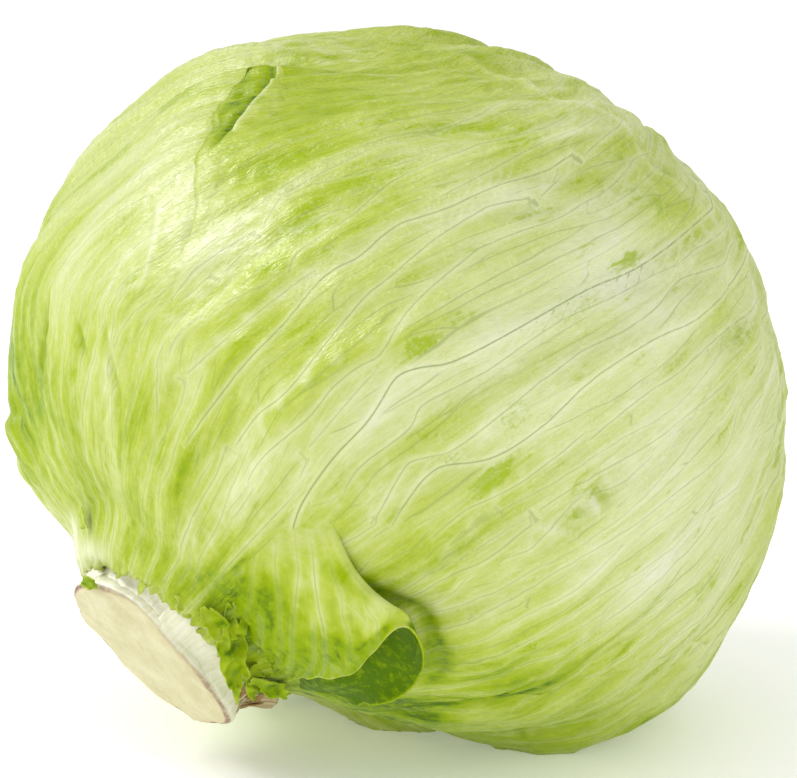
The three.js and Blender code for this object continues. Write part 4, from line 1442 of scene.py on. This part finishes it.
def scrapPoints(grid, at, half, turn, tilt, curl, crumple, seed):
    origin = stemPlace(*at)
    outward = unit(origin - stemPlace(at[0], 0, at[2]))
    normal = unit(0.6 * outward + 0.4 * unit(origin - headCentre))
    grows = unit(-stemAxis - normal * np.dot(-stemAxis, normal))
    across = np.cross(normal, grows)
    angle, lean = math.radians(turn), math.radians(tilt)
    lengthAxis = grows * math.cos(angle) + across * math.sin(angle)
    widthAxis = np.cross(normal, lengthAxis)
    normal, lengthAxis = (normal * math.cos(lean) - lengthAxis * math.sin(lean),
                          lengthAxis * math.cos(lean) + normal * math.sin(lean))
    around = np.arctan2(grid[:, 1], grid[:, 0])
    ring = np.stack([np.cos(around) * 2, np.sin(around) * 2, 0 * around], -1)
    corner = np.maximum(np.abs(np.cos(around)), np.abs(np.sin(around)))
    outline = (0.1 + 0.9 * corner) * (1 + scrapBuild["ragged"] * (waves(ring, seed, 0.7, 4) - 0.5))
    a, b = grid[:, 0] * half[0] * outline, grid[:, 1] * half[1] * outline
    rise = 0 * b
    if curl:
        rise, b = curl * (1 - np.cos(b / curl)), curl * np.sin(b / curl)
    flat = np.stack([a, b, 0 * a], -1)
    rise = rise + crumple * (0.8 - np.abs(waves(flat, seed + 1, 3.5, 11, 24)))
    lengths = np.multiply.outer(a, lengthAxis) + np.multiply.outer(b, widthAxis)
    return origin + lengths + np.multiply.outer(rise, normal), normal, flat


def makeScrap(scrap):
    piece = addSheet(scrap["name"], scrap["cells"])
    grid = meshPoints(piece)
    keys = ("at", "half", "turn", "tilt", "curl", "crumple", "seed")
    points, normal, flat = scrapPoints(grid, *(scrap[key] for key in keys))
    setPoints(piece, points)
    faceOutwards(piece, lambda centres: 0 * centres + normal)
    nothing = np.zeros(len(points))
    edge = smoothStep(np.abs(grid[:, :2]).max(1), 0.94, 1)
    storeFields(piece, {
        "green": scrap["green"] + 0.05 * waves(flat, scrap["seed"] + 2, 2, 6) - 0.12 * edge,
        "blotch": nothing, "pale": nothing, "crinkle": nothing + 0.45, **noVeins(points),
        "flow": flat[:, [1, 0, 2]] + [40, 40, 0],
    })
    thicken(piece, scrapBuild["thickness"])
    return finishPiece(piece, "green_leaf", finishes["tornLeaf"])


def makeFibre(name, along, radius, side, length, width, turn, seed):
    piece = addSheet(name, (20, 8))
    grid = meshPoints(piece)
    grid[:, 1] *= 1 - 0.75 * np.abs(grid[:, 0]) ** 2
    points, normal, flat = scrapPoints(grid, (along, radius, side), (length, width), turn, 8, 0, 0.3, seed)
    setPoints(piece, points)
    faceOutwards(piece, lambda centres: 0 * centres + normal)
    nothing = np.zeros(len(points))
    storeFields(piece, {
        "rim": nothing + 9, "cutFace": nothing, "dried": nothing + 0.9, "browned": nothing,
        "flow": flat[:, [1, 0, 2]],
    })
    thicken(piece, scrapBuild["thickness"])
    return finishPiece(piece, "leaf_base", finishes["flesh"])


for scrap in scraps:
    makeScrap(scrap)
for i, fibre in enumerate(fibres):
    makeFibre("driedFibre" + str(i + 1), *fibre, 220 + 3 * i)
print("scraps made")

# Studio: pale floor, white surroundings, one key light high at the left and a weak one at the front
studio = {
    "floorSize": 12.0, "floorRoughness": 0.6, "floorGlow": 0.2,
    "skyStrength": 0.78, "keyPower": 9.4, "keySize": 0.55, "keyFrom": (-1.05, 0.05, 1.05),
    "fillPower": 2.5, "fillSize": 0.8, "fillFrom": (0.7, -1.1, 0.7),
    "sheenPower": 42.0, "sheenSize": 0.4,
}
view = {"distance": 0.75, "elevation": 12.0, "lens": 162.6}

bpy.ops.object.select_all(action="DESELECT")
bpy.ops.mesh.primitive_plane_add(size=studio["floorSize"])
floor = bpy.context.object
floor.name = "floor"
floorMaterial, floorTree, floorShader = newMaterial("paleFloor")
floorNoise = addNoise(floorTree, objectPlace(floorTree), 3.0)
floorTones = ((0.3, (250, 250, 250)), (0.7, (252, 252, 252)))
floorTree.links.new(addRamp(floorTree, floorNoise, floorTones), floorShader.inputs["Base Color"])
floorShader.inputs["Roughness"].default_value = studio["floorRoughness"]
floorShader.inputs["Specular IOR Level"].default_value = 0.2
floorShader.inputs["Emission Color"].default_value = (1, 1, 1, 1)
floorShader.inputs["Emission Strength"].default_value = studio["floorGlow"]
floor.data.materials.append(floorMaterial)


def addAreaLight(name, start, power, size, aim):
    light = bpy.data.lights.new(name, "AREA")
    light.energy = power
    light.size = size
    lamp = bpy.data.objects.new(name, light)
    bpy.context.scene.collection.objects.link(lamp)
    lamp.location = start
    direction = (np.array(aim) - np.array(start)).tolist()
    lamp.rotation_euler = Vector(direction).to_track_quat("-Z", "Y").to_euler()
    return lamp


middle = (headCentre * mm).tolist()
addAreaLight("keyLight", studio["keyFrom"], studio["keyPower"], studio["keySize"], middle)
addAreaLight("fillLight", studio["fillFrom"], studio["fillPower"], studio["fillSize"], middle)
sheen = addAreaLight("sheenLight", studio["keyFrom"], studio["sheenPower"], studio["sheenSize"], middle)
sheen.visible_diffuse = False  # only the shine of the waxy leaves

world = bpy.data.worlds.new("studio")
bpy.context.scene.world = world
world.use_nodes = True
worldTree = world.node_tree
seen = addNode(worldTree, "ShaderNodeLightPath").outputs["Is Camera Ray"]
background = worldTree.nodes["Background"]
background.inputs["Color"].default_value = (1, 1, 1, 1)
strength = fadeFrom(worldTree, seen, 0, 1, studio["skyStrength"], 1.0)
worldTree.links.new(strength, background.inputs["Strength"])

elevation = math.radians(view["elevation"])
camera = bpy.data.cameras.new("camera")
camera.lens = view["lens"]
camera.sensor_width = 36
cameraObject = bpy.data.objects.new("camera", camera)
bpy.context.scene.collection.objects.link(cameraObject)
back = np.array([0, -math.cos(elevation), math.sin(elevation)])
cameraObject.location = (headCentre * mm + back * view["distance"]).tolist()
cameraObject.rotation_euler = (math.radians(90) - elevation, 0, 0)
bpy.context.scene.camera = cameraObject
bpy.context.scene.view_settings.view_transform = "Standard"
print("studio and camera set")
